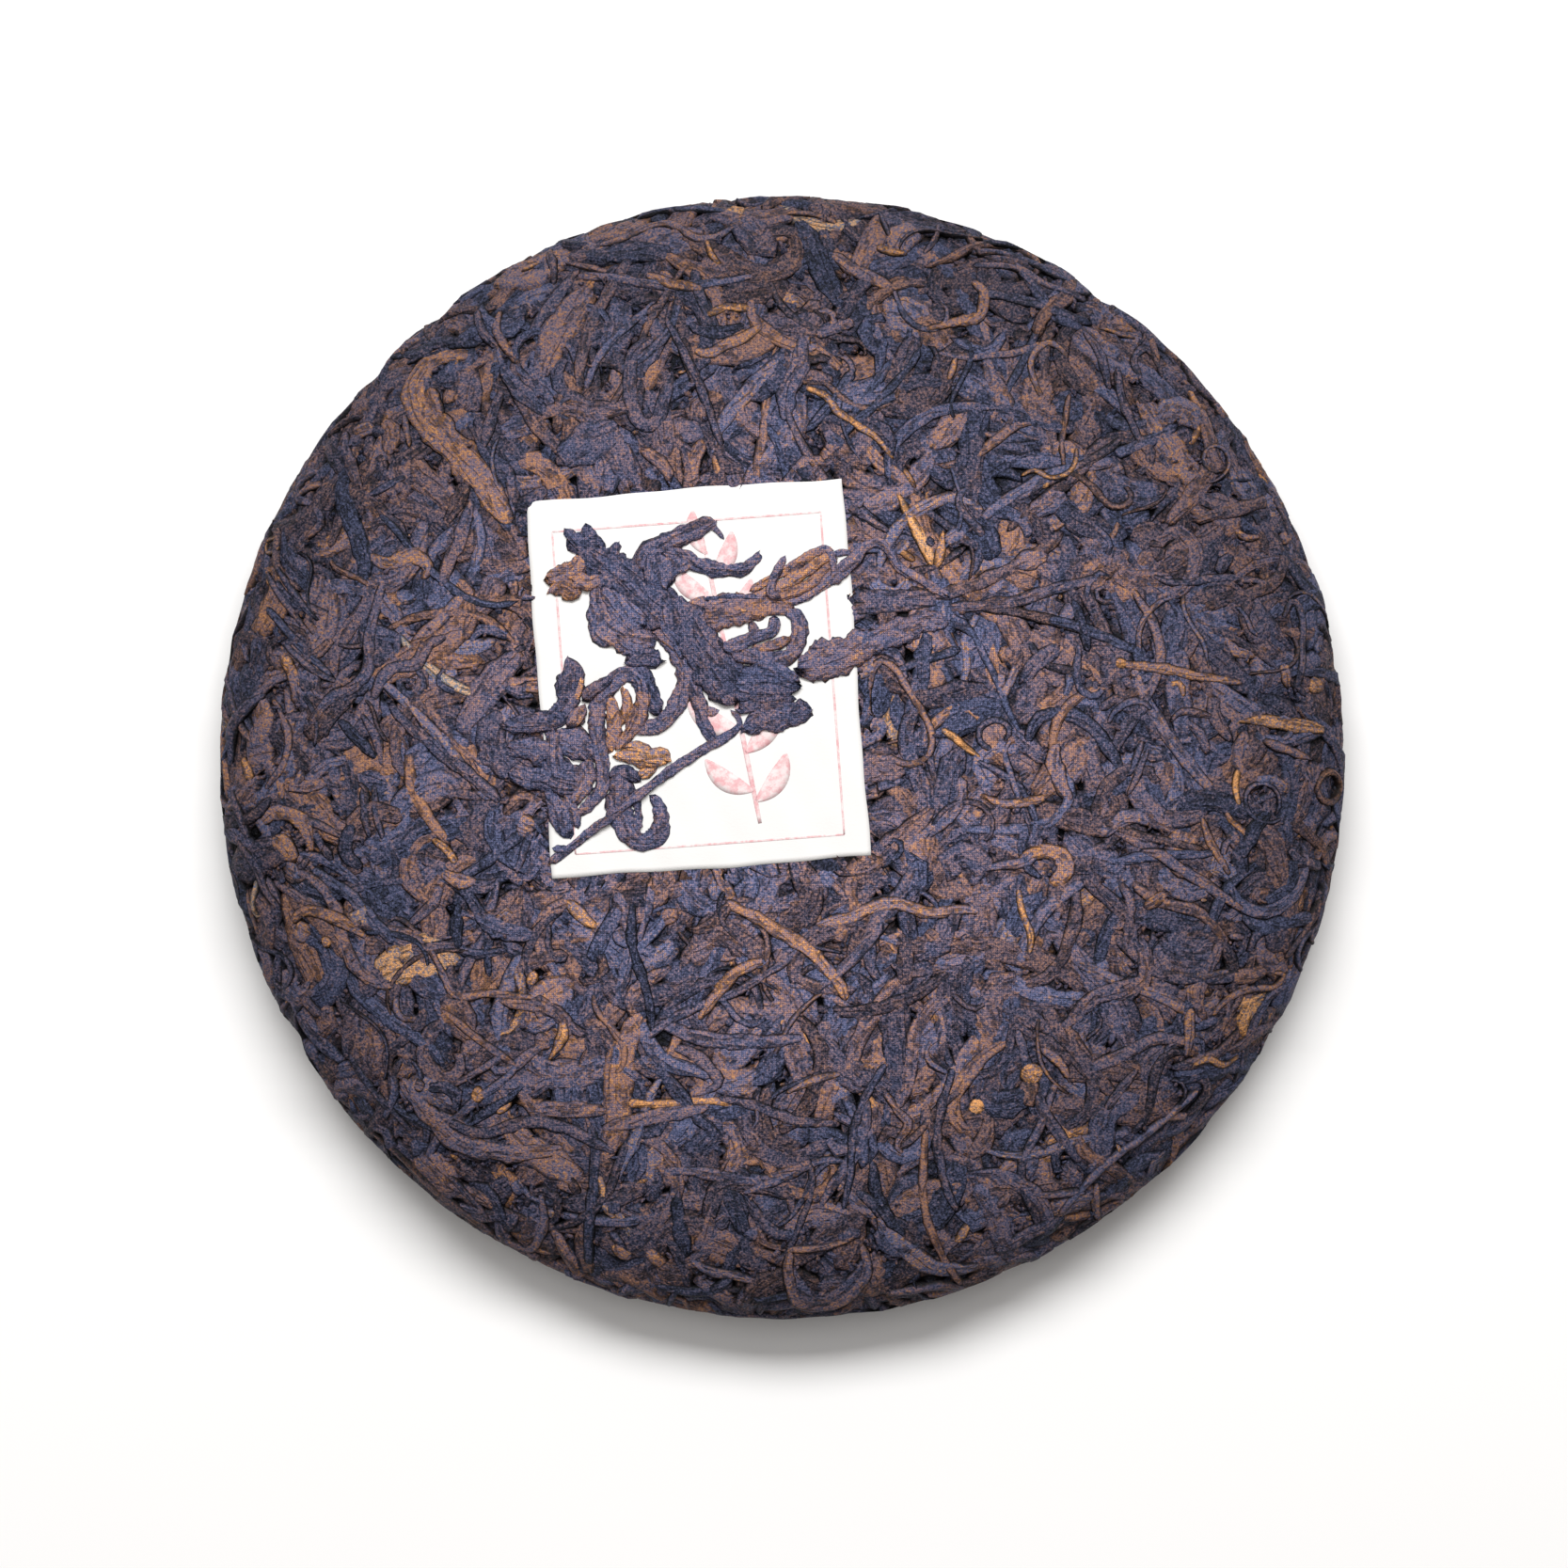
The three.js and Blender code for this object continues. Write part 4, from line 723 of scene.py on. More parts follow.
class Bed:
    """Leaves laid on one side of the cake. A fine grid of heights tells which of them show."""

    CELL = 0.25
    SAMPLE = 0.2
    DEEPEST = -2.6

    def __init__(self, skin, half, rng, settings, with_ticket):
        self.skin, self.half, self.rng, self.settings = skin, half, rng, settings
        self.with_ticket = with_ticket
        self.count = int(2 * half / self.CELL) + 1
        self.heights = np.full((self.count, self.count), self.DEEPEST, np.float32)
        self.owner = np.full((self.count, self.count), -1, np.int32)
        self.leaves = []

    def cells(self, x, y):
        """Cells of the grid that points lie in."""
        i = np.clip(np.rint((np.asarray(x) + self.half) / self.CELL).astype(int), 0, self.count - 1)
        j = np.clip(np.rint((np.asarray(y) + self.half) / self.CELL).astype(int), 0, self.count - 1)
        return i, j

    def level(self, path, half):
        """Height under a path, averaged across and along it."""
        side = headings(path)[1] * half[:, None]
        found = [self.heights[self.cells(*(path + side * k).T)] for k in (-0.6, -0.2, 0.2, 0.6)]
        return smoothed(np.mean(found, axis=0), 3)

    def lay(self, leaf, proud=0.0):
        """Presses a leaf, adds it and marks the cells where it is the highest."""
        leaf.h = pressed(leaf.h, press_limit(np.hypot(leaf.x, leaf.y), self.settings.press) + proud)
        span = leaf.run[-1]
        wide = 2 * leaf.half.max()
        nu, nv = int(span / self.SAMPLE) + 2, int(wide / self.SAMPLE) + 3
        u = np.linspace(0, leaf.rings - 1.001, nu)
        v = np.linspace(0, len(ACROSS) - 1.001, nv)
        i, j = u.astype(int)[:, None], v.astype(int)[None, :]
        fu, fv = u[:, None] - i, v[None, :] - j
        corners = [(1 - fu) * (1 - fv), fu * (1 - fv), (1 - fu) * fv, fu * fv]
        steps = [(0, 0), (1, 0), (0, 1), (1, 1)]
        x, y, h = (
            sum(w * grid[i + a, j + b] for w, (a, b) in zip(corners, steps))
            for grid in (leaf.x, leaf.y, leaf.h)
        )
        cells = self.cells(x, y)
        higher = h > self.heights[cells]
        cells = (cells[0][higher], cells[1][higher])
        self.heights[cells] = h[higher]
        self.owner[cells] = len(self.leaves)
        self.leaves.append(leaf)

    def showing(self, least):
        """The leaves that show in at least so many cells."""
        seen = np.bincount(self.owner[self.owner >= 0], minlength=len(self.leaves))
        return [leaf for leaf, cells in zip(self.leaves, seen) if cells >= least]


def pressed(h, limit, soft=0.10):
    """Heights flattened softly where they would stand over the limit."""
    over = (limit - h) / soft
    return limit - soft * np.logaddexp(0, over)


def looseness(run):
    """How loose the cake is at a run from the middle: nothing inside, one at the rim."""
    return np.clip((run - 80) / 22, 0, 1)


def random_tone(rng, kind):
    """Share of the colour ramp for one leaf: mostly violet grey, some brown, a few golden."""
    draw = rng.random()
    golden = {"flake": 0.035, "tendril": 0.02}.get(kind, 0.006)
    brown = {"flake": 0.36, "tendril": 0.30, "stem": 0.22}.get(kind, 0.19)
    if draw < golden:
        return rng.uniform(0.70, 0.90)
    if draw < brown:
        return rng.uniform(0.49, 0.63)
    return rng.uniform(0.25, 0.51)


def wandering_path(rng, x, y, long, heading, curl, rings):
    """A path of the given length through a point, with a bend that changes along it."""
    s = np.linspace(-0.5, 0.5, rings)
    bend = rng.normal(0, curl) + rng.normal(0, curl) * s * 1.6
    angle = heading + bend * s * 2.0 + 0.16 * ripple(s * long, rng, long * 0.6)
    step = long / (rings - 1)
    px = np.cumsum(np.cos(angle)) * step
    py = np.cumsum(np.sin(angle)) * step
    middle = rings // 2
    return np.column_stack([px - px[middle] + x, py - py[middle] + y])


def end_taper(rings, blunt, rng):
    """Share of the width along a leaf: closed at both ends, blunter as the exponent falls."""
    s = np.linspace(0, 1, rings)
    skew = rng.uniform(0.75, 1.35)
    return np.sin(math.pi * s**skew) ** blunt


def flow(x, y):
    """Direction that leaves around a place tend to follow."""
    waves = math.sin(x / 15 + 1) + math.cos(y / 12 + 2)
    waves = waves + math.sin((x + y) / 21) + math.cos((x - y) / 17)
    return 1.5 * waves


def random_leaf(bed, kind, reach, level, spread, place=None):
    """One leaf of a kind, at a place or somewhere on the bed; at the rim it runs round the cake."""
    rng, spec = bed.rng, KINDS[kind]
    run = reach * math.sqrt(rng.random())
    turn = rng.uniform(0, 2 * math.pi)
    x, y = place or (run * math.cos(turn), run * math.sin(turn))
    run, turn = math.hypot(x, y), math.atan2(y, x)
    long = between(spec["long"], rng.random() ** 1.5)
    wide = between(spec["wide"], rng.random() ** 1.2)
    loose = float(looseness(run))
    heading = flow(x, y) + rng.normal(0, 0.55) if rng.random() < 0.7 else rng.uniform(0, math.pi)
    if rng.random() < 0.75 * loose:
        heading = turn + math.pi / 2 + rng.normal(0, 0.35)
    gap = 1.1 if kind == "tendril" else 1.8
    rings = int(np.clip(long / gap, 5, 24))
    path = wandering_path(rng, x, y, long, heading, spec["curl"], rings)
    half = 0.5 * wide * end_taper(rings, spec["blunt"], rng)
    drop = spec["drop"] * rng.uniform(0.85, 1.2) * (1 + 0.5 * loose)
    if level is None:
        crown = bed.level(path, half) + (0.42 + 0.25 * rng.random()) * drop
    else:
        crown = np.full(rings, level + rng.uniform(-spread, spread) - 0.45 * loose * rng.random())
        crown = crown + 0.12 * ripple(np.linspace(0, long, rings), rng, 14.0)
    tone = random_tone(rng, kind)
    # Leaves of the deepest layers show only in gaps; their tone is made a fifth darker as painted shade
    if level is not None and level < -1:
        tone *= 0.8
    return Leaf(kind, path, half, crown, drop, spec["boxy"], rng, tone, spec["ridges"])


def ticket_distance(x, y):
    """How far points seen from above lie outside the ticket's edges; inside it is negative."""
    dx, dy = x - TICKET_MIDDLE[0], y - TICKET_MIDDLE[1]
    u = dx * math.cos(TICKET_TURN) + dy * math.sin(TICKET_TURN)
    v = dy * math.cos(TICKET_TURN) - dx * math.sin(TICKET_TURN)
    return np.maximum(np.abs(u) - TICKET_SIZE[0] / 2, np.abs(v) - TICKET_SIZE[1] / 2)


def press_limit(run, press):
    """Highest level of the leaves: higher on the shoulder, lower at the rim."""
    return press + 0.45 * np.clip((run - 78) / 12, 0, 1) - 0.5 * np.clip((run - 96) / 9, 0, 1)


def settled(bed, x, y, h):
    """Heights after the press: squeezed flat in the middle, and sunk under the ticket."""
    run = np.hypot(x, y)
    limit = press_limit(run, bed.settings.press)
    h = limit - (limit - h) * (0.42 + 0.58 * looseness(run)) + 0.5 * np.clip((run - 99) / 5, 0, 1)
    if not bed.with_ticket:
        return h
    away = ticket_distance(x, y)
    beside = TICKET_LEVEL - 0.08 + 0.28 * np.clip(away - 1.2, 0, 8)
    return np.minimum(h, np.where(away < -1.0, TICKET_LEVEL - 0.3, beside))


def face_leaf(bed, tone, wide_start, wide_end, points):
    """A leaf whose place is known, laid on what is below it."""
    rng = bed.rng
    xy = np.column_stack(bed.skin.unrolled(*np.asarray(points, float).T))
    widest = max(wide_start, wide_end)
    kind = next(kind for kind, least in PLACED_KINDS if widest > least)
    span = float(np.hypot(*np.diff(xy, axis=0).T).sum())
    rings = int(np.clip(span / 0.9, 6, 60))
    path, span = through(xy, rings)
    wide = np.linspace(wide_start, wide_end, rings)
    ends = np.linspace(0, 1, rings)
    blunt = min(0.4, 2.2 / max(span / widest, 3))
    half = 0.5 * wide * np.sin(math.pi * ends) ** blunt
    drop = 0.8 if kind == "tendril" else 1.0
    crown = bed.level(path, half) + 0.62 * drop
    spec = KINDS[kind]
    seed = 0.48 + 0.8 * (tone - 0.45) + rng.uniform(-0.12, 0.12)
    return Leaf(kind, path, half, crown, drop, spec["boxy"], rng, tone, spec["ridges"], seed)


def fill_gaps(bed, reach, deep=-1.1, rounds=30, each=12, worst=400):
    """Lays more leaves over the deepest and widest gaps that are still open.

    Each round draws a few of the worst cells of the blurred heights and lays a leaf across each.
    """
    across = np.arange(bed.count) * bed.CELL - bed.half
    x, y = np.meshgrid(across, across, indexing="ij")
    skipped = np.hypot(x, y) > reach
    if bed.with_ticket:
        skipped |= ticket_distance(x, y) < -2
    for _ in range(rounds):
        low = np.where(skipped, 0.0, blurred(bed.heights.astype(float), 2)).ravel()
        gaps = np.argpartition(low, worst)[:worst]
        gaps = gaps[low[gaps] < deep]
        if not len(gaps):
            return
        for k in bed.rng.choice(gaps, each):
            i, j = divmod(int(k), bed.count)
            place = (float(across[i]), float(across[j]))
            bed.lay(random_leaf(bed, "rolled", reach, -0.7, 0.2, place))


def laid_bed(skin, reach, layers, settings, seed, face=()):
    """A bed with all layers laid, and the leaves of known places on top."""
    rng = np.random.default_rng(seed)
    bed = Bed(skin, reach + 16, rng, settings, bool(face))
    for kinds, level, spread in layers:
        if level is None:
            fill_gaps(bed, reach)
        for kind, count in kinds.items():
            for _ in range(int(count * settings.fill)):
                bed.lay(random_leaf(bed, kind, reach, level, spread))
    for tone, wide_start, wide_end, points in face:
        bed.lay(face_leaf(bed, tone, wide_start, wide_end, points), 0.15)
    return bed


# Meshes


def leaf_faces(rings, around):
    """Quads round the rings of a leaf and the triangles that close its two tips."""
    i, k = np.meshgrid(np.arange(rings - 1), np.arange(around), indexing="ij")
    a, b = i * around + k, i * around + (k + 1) % around
    quads = np.stack([a, b, b + around, a + around], axis=-1).reshape(-1, 4)
    first, last = rings * around, rings * around + 1
    k = np.arange(around)
    n = (k + 1) % around
    end = (rings - 1) * around
    near = np.stack([np.full(around, first), n, k], axis=-1)
    far = np.stack([np.full(around, last), end + k, end + n], axis=-1)
    return quads, np.concatenate([near, far])


class MeshParts:
    """Collects closed strips and writes them as one mesh."""

    def __init__(self):
        self.points, self.quads, self.tips, self.uvs = [], [], [], []
        self.attributes = {"tone": [], "seed": [], "hollow": []}
        self.count = 0
        self.known = {}

    def add(self, points, uvs, tone, seed, hollow, rings, around):
        """Adds the points of one strip, ring after ring with the two tips last."""
        key = (rings, around)
        if key not in self.known:
            self.known[key] = leaf_faces(rings, around)
        quads, tips = self.known[key]
        self.points.append(points)
        self.uvs.append(uvs)
        self.quads.append(quads + self.count)
        self.tips.append(tips + self.count)
        for name, value in (("tone", tone), ("seed", seed), ("hollow", hollow)):
            self.attributes[name].append(np.broadcast_to(value, len(points)))
        self.count += len(points)

    def build(self, name, material):
        """One object of all the strips, with their UVs and attributes."""
        points = np.concatenate(self.points)
        quads, tips = np.concatenate(self.quads), np.concatenate(self.tips)
        mesh = bpy.data.meshes.new(name)
        mesh.vertices.add(len(points))
        mesh.vertices.foreach_set("co", points.astype(np.float32).ravel())
        loops = np.concatenate([quads.ravel(), tips.ravel()])
        mesh.loops.add(len(loops))
        mesh.loops.foreach_set("vertex_index", loops.astype(np.int32))
        starts = np.concatenate([np.arange(len(quads)) * 4, len(quads) * 4 + np.arange(len(tips)) * 3])
        mesh.polygons.add(len(starts))
        mesh.polygons.foreach_set("loop_start", starts.astype(np.int32))
        mesh.polygons.foreach_set("use_smooth", np.ones(len(starts), bool))
        uv = mesh.uv_layers.new(name="leaf")
        uv.data.foreach_set("uv", np.concatenate(self.uvs)[loops].astype(np.float32).ravel())
        for key, values in self.attributes.items():
            attribute = mesh.attributes.new(key, "FLOAT", "POINT")
            attribute.data.foreach_set("value", np.concatenate(values).astype(np.float32))
        mesh.update(calc_edges=True)
        mesh.validate()
        mesh.materials.append(material)
        piece = bpy.data.objects.new(name, mesh)
        bpy.context.scene.collection.objects.link(piece)
        return piece


def leaf_uvs(leaf, run, offset):
    """UVs along and across a leaf, with those of its two tips last."""
    along = np.repeat(run[:, None], offset.shape[1], axis=1)
    u = np.concatenate([along.ravel(), leaf.run[[0, -1]]])
    v = np.concatenate([offset.ravel(), [0, 0]])
    return np.column_stack([u, v]) * 0.1


def add_leaf(parts, leaf, surround, bed):
    """Closes one laid leaf with a bottom line and adds it to the mesh."""
    rings = leaf.rings - 2
    x, y, h = leaf.x[1:-1], leaf.y[1:-1], leaf.h[1:-1]
    low = h.min(axis=1, keepdims=True) - 0.8 * leaf.drop
    px, py = leaf.path[1:-1, :1], leaf.path[1:-1, 1:]
    gx, gy, gh = np.hstack([x, px]), np.hstack([y, py]), np.hstack([h, low])
    tips = leaf.path[[0, -1]]
    allx = np.concatenate([gx.ravel(), tips[:, 0]])
    ally = np.concatenate([gy.ravel(), tips[:, 1]])
    allh = np.concatenate([gh.ravel(), leaf.h[[1, -2]].min(axis=1) - 0.1])
    points = bed.skin.place(allx, ally, settled(bed, allx, ally, allh))
    offset = np.hstack([leaf.offset[1:-1], np.zeros((rings, 1))])
    uvs = leaf_uvs(leaf, leaf.run[1:-1], offset)
    loose = looseness(np.hypot(allx, ally))
    # Painted shade, carried in the attribute hollow: darker the deeper a place lies below the heights around
    # it, with a dark line along each leaf's edges and at its tips
    hollow = np.clip((surround[bed.cells(allx, ally)] - allh) / (1.35 - 0.45 * loose), 0, 1)
    inside = leaf.half[1:-1, None] * (1 - np.abs(ACROSS))
    edge = np.interp(inside, (0.0, 0.2, 0.6), (1.0, 0.66, 0.0))
    edge = np.concatenate([np.hstack([edge, np.ones((rings, 1))]).ravel(), [0.8, 0.8]])
    hollow = np.maximum(hollow, edge)
    parts.add(points, uvs, leaf.tone, leaf.seed, hollow, rings, offset.shape[1])


def flip_check(piece):
    """Turns the whole mesh round if its faces point inwards."""
    mesh = piece.data
    mesh.calc_loop_triangles()
    co = np.empty(len(mesh.vertices) * 3)
    mesh.vertices.foreach_get("co", co)
    co = co.reshape(-1, 3)
    tri = np.empty(len(mesh.loop_triangles) * 3, int)
    mesh.loop_triangles.foreach_get("vertices", tri)
    a, b, c = (co[tri.reshape(-1, 3)[:, k]] for k in range(3))
    if np.einsum("ij,ij->i", a, np.cross(b, c)).sum() < 0:
        mesh.flip_normals()


def finish_piece(piece, slot, *nodes):
    """Tells the frame what a piece rides on and what it stands for. The slot is not used."""
    flip_check(piece)
    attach(piece, "root")
    if nodes:
        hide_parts(*nodes)


def turned_piece(name, points, tips, material):
    """A closed mesh turned round the axis: rings of points, capped by the two tips, made dark with a low tone
    and painted shade.
    """
    rings, around = points.shape[:2]
    parts = MeshParts()
    whole = np.concatenate([points.reshape(-1, 3), np.stack(tips)])
    # The low tone and the fixed share of hollow are painted shade: the core shows only in the gaps between
    # the leaves
    parts.add(whole, np.zeros((len(whole), 2)), 0.12, 0.5, 0.6, rings, around)
    return parts.build(name, material)


# Materials


class Net:
    """Short calls to add and link shader or geometry nodes."""

    def __init__(self, tree):
        self.tree = tree

    def add(self, kind, inputs=None, **settings):
        """A node with its settings, and its inputs by name or number."""
        node = self.tree.nodes.new(kind)
        for key, value in settings.items():
            setattr(node, key, value)
        for key, value in (inputs or {}).items():
            self.feed(node.inputs[key], value)
        return node

    def feed(self, socket, value):
        """Links a socket to an input, or sets the input's value."""
        if isinstance(value, bpy.types.NodeSocket):
            self.tree.links.new(value, socket)
        else:
            socket.default_value = value

    def maths(self, operation, a, b=0.0, c=0.0):
        """One arithmetic step."""
        return self.add("ShaderNodeMath", {0: a, 1: b, 2: c}, operation=operation).outputs[0]

    def swayed(self, value, parts):
        """The value with each noise added to it by its share, centred on nought."""
        for noise, share in parts:
            value = self.maths("MULTIPLY_ADD", self.maths("SUBTRACT", noise, 0.5), share, value)
        return value

    def blend(self, share, a, b, kind="MIX"):
        """The first colour with a share of the second."""
        node = self.add("ShaderNodeMix", data_type="RGBA", blend_type=kind, clamp_factor=True)
        self.feed(node.inputs[0], share)
        self.feed(node.inputs[6], a)
        self.feed(node.inputs[7], b)
        return node.outputs[2]

    def window(self, value, low, high):
        """Zero below low, one above high, smooth between."""
        node = self.add("ShaderNodeMapRange", {0: value, 1: low, 2: high}, interpolation_type="SMOOTHSTEP")
        return node.outputs[0]

    def noise(self, vector, scale, detail=2.0, rough=0.55):
        """Soft noise between nought and one."""
        inputs = {"Vector": vector, "Scale": scale, "Detail": detail, "Roughness": rough}
        return self.add("ShaderNodeTexNoise", inputs).outputs["Fac"]

    def stretched(self, vector, scale, offset=None):
        """Coordinates scaled along each axis, then moved."""
        node = self.add("ShaderNodeVectorMath", {0: vector, 1: scale}, operation="MULTIPLY")
        out = node.outputs[0]
        if offset is not None:
            out = self.add("ShaderNodeVectorMath", {0: out, 1: offset}, operation="ADD").outputs[0]
        return out

    def ramp(self, value, stops):
        """A colour for a value, between stops of places and colours."""
        node = self.add("ShaderNodeValToRGB", {0: value})
        ramp = node.color_ramp
        while len(ramp.elements) < len(stops):
            ramp.elements.new(0.5)
        for element, (place, colour) in zip(ramp.elements, stops):
            element.position = place
            element.color = (*colour, 1)
        return node.outputs[0]


def new_group(name, inputs, outputs):
    """A shader node group with its sockets: gives its net, its input node and its output node."""
    tree = bpy.data.node_groups.new(name, "ShaderNodeTree")
    for label, kind, default in inputs:
        socket = tree.interface.new_socket(label, in_out="INPUT", socket_type="NodeSocket" + kind)
        if default is not None:
            socket.default_value = default
    for label, kind in outputs:
        tree.interface.new_socket(label, in_out="OUTPUT", socket_type="NodeSocket" + kind)
    net = Net(tree)
    return net, net.add("NodeGroupInput"), net.add("NodeGroupOutput")


def cloth_print_group():
    """Print of the press cloth: a fine square weave of dots, as a height from nought to one."""
    net, given, out = new_group(
        "Cloth print", [("Place", "Vector", None), ("Pitch", "Float", 0.5)], [("Height", "Float")]
    )
    turns = net.maths("DIVIDE", 2 * math.pi / MM, given.outputs["Pitch"])
    wobble = net.noise(given.outputs["Place"], 60.0, 1.0)
    split = net.add("ShaderNodeSeparateXYZ", {0: given.outputs["Place"]})
    waves = []
    for axis in (0, 1):
        phase = net.maths("MULTIPLY_ADD", split.outputs[axis], turns, net.maths("MULTIPLY", wobble, 9.0))
        waves.append(net.maths("MULTIPLY_ADD", net.maths("SINE", phase), 0.5, 0.5))
    net.feed(out.inputs["Height"], net.maths("MULTIPLY", waves[0], waves[1]))


def dry_leaf_group(settings):
    """Look of a dry fermented leaf: colour, roughness and relief from its tone and its own noise, with
    painted shade from its Hollow input, in its creases and towards the rim, and painted light on the cloth's
    print.
    """
    sockets = [
        ("Along", "Vector", None),
        ("Place", "Vector", None),
        ("Tone", "Float", 0.4),
        ("Seed", "Float", 0.5),
        ("Hollow", "Float", 0.0),
        ("Weave", "Float", 0.0),
        ("Streaks", "Float", 1.0),
    ]
    results = [("Color", "Color"), ("Roughness", "Float"), ("Height", "Float")]
    net, given, out = new_group("Dry leaf", sockets, results)
    along, place = given.outputs["Along"], given.outputs["Place"]
    tone, seed, hollow = given.outputs["Tone"], given.outputs["Seed"], given.outputs["Hollow"]
    streaks = given.outputs["Streaks"]
    # The seed shifts the noise that runs along a leaf, so that no two leaves are alike
    shift = net.add(
        "ShaderNodeCombineXYZ",
        {0: net.maths("MULTIPLY", seed, 57.0), 1: net.maths("MULTIPLY", seed, 31.0), 2: seed},
    ).outputs[0]
    fibres = net.noise(net.stretched(along, (3.4, 19.0, 1.0), shift), 1.0, 3.0, 0.6)
    folds = net.noise(net.stretched(along, (1.1, 5.2, 1.0), shift), 1.0, 2.0, 0.5)
    clouds = net.noise(place, 150.0, 3.0, 0.6)
    patches = net.noise(place, 340.0, 4.0, 0.62)
    lumps = net.noise(place, 620.0, 3.0, 0.55)
    mottle = net.noise(place, 1250.0, 3.0, 0.65)
    grain = net.noise(place, 2500.0, 2.0, 0.6)
    # Creases run where a slow noise crosses its middle: sunk in the relief, and darkened in the colour as
    # painted shade
    crease = net.maths("ABSOLUTE", net.maths("SUBTRACT", folds, 0.5))
    crease = net.maths("SUBTRACT", 1.0, net.window(crease, 0.01, 0.065))
    broken = net.maths("MULTIPLY", crease, net.window(lumps, 0.38, 0.52))
    fine = net.maths("ABSOLUTE", net.maths("SUBTRACT", fibres, 0.5))
    fine = net.maths("SUBTRACT", 1.0, net.window(fine, 0.0, 0.045))
    broken = net.maths("MAXIMUM", broken, net.maths("MULTIPLY", fine, net.maths("MULTIPLY", streaks, 0.12)))
    # How bright: the leaf's tone, with streaks along it and mottling over it
    value = net.swayed(tone, [(fibres, net.maths("MULTIPLY", streaks, 0.22))])
    value = net.swayed(value, [(grain, 1.15), (mottle, 0.45), (patches, 0.30), (clouds, 0.16)])
    violet, brown, gold = tuple(settings.violet_leaf), tuple(settings.brown_leaf), tuple(settings.gold_leaf)
    stops = [
        (0.03, tuple(settings.dark_leaf)),
        (0.24, tuple(0.44 * c for c in violet)),
        (0.44, violet),
        (0.60, tuple(1.55 * c for c in violet)),
        (0.72, brown),
        (0.88, tuple(0.66 * c for c in gold)),
        (1.0, gold),
    ]
    colour = net.ramp(value, stops)
    # How warm: brown leaves and worn places towards orange, the rest towards blue
    heat = net.maths("SUBTRACT", net.maths("MINIMUM", tone, 0.62), 0.43)
    heat = net.maths("MULTIPLY_ADD", heat, 1.4, 0.34)
    noises = [(seed, 0.80), (clouds, 0.9), (patches, 1.15), (mottle, 1.3), (grain, 1.7)]
    heat = net.swayed(heat, noises)
    cooled = net.blend(1.0, colour, (0.67, 0.97, 1.53, 1), "MULTIPLY")
    warmed = net.blend(1.0, colour, (1.62, 1.03, 0.62, 1), "MULTIPLY")
    colour = net.blend(heat, cooled, warmed)
    # Pale specks of dust, then painted shade in the gaps, in the creases and towards the rim, and painted
    # light on the cloth's print
    sparkle = net.window(grain, 0.62, 0.76)
    colour = net.blend(net.maths("MULTIPLY", sparkle, 0.34), colour, (0.34, 0.28, 0.32, 1))
    # Painted shade towards the rim: the leaves darken from 35 mm out from the axis to the rim
    radius = net.add("ShaderNodeVectorMath", {0: net.stretched(place, (1, 1, 0))}, operation="LENGTH")
    rim = net.window(radius.outputs["Value"], 0.035, 0.104)
    shade = net.maths("MULTIPLY_ADD", net.window(hollow, 0.08, 0.85), -0.94, 1.0)
    shade = net.maths("MULTIPLY", shade, net.maths("MULTIPLY_ADD", broken, -0.60, 1.0))
    shade = net.maths("MULTIPLY", shade, net.maths("MULTIPLY_ADD", rim, -0.42, 1.0))
    # Painted light on the cloth's print: its dots are made brighter, less so towards the rim
    cloth = net.maths("MULTIPLY", given.outputs["Weave"], net.maths("SUBTRACT", 1.0, rim))
    shade = net.maths("MULTIPLY", shade, net.maths("MULTIPLY_ADD", cloth, 1.5, 0.84))
    shade_colour = net.add("ShaderNodeCombineColor", {0: shade, 1: shade, 2: shade})
    colour = net.blend(1.0, colour, shade_colour.outputs[0], "MULTIPLY")
    net.feed(out.inputs["Color"], colour)
    net.feed(out.inputs["Roughness"], net.maths("MULTIPLY_ADD", mottle, 0.30, 0.45))
    height = net.maths("MULTIPLY", net.maths("MULTIPLY", fibres, 0.24), streaks)
    height = net.maths("MULTIPLY_ADD", broken, -0.5, height)
    for noise, share in ((lumps, 1.6), (mottle, 1.1), (grain, 0.50), (cloth, 0.30)):
        height = net.maths("MULTIPLY_ADD", noise, share, height)
    net.feed(out.inputs["Height"], height)


def new_material(name):
    """A material with its net, its shader and the coordinates of its object."""
    material = bpy.data.materials.new(name)
    material.use_nodes = True
    net = Net(material.node_tree)
    shader = material.node_tree.nodes["Principled BSDF"]
    return material, net, shader, net.add("ShaderNodeTexCoord").outputs["Object"]


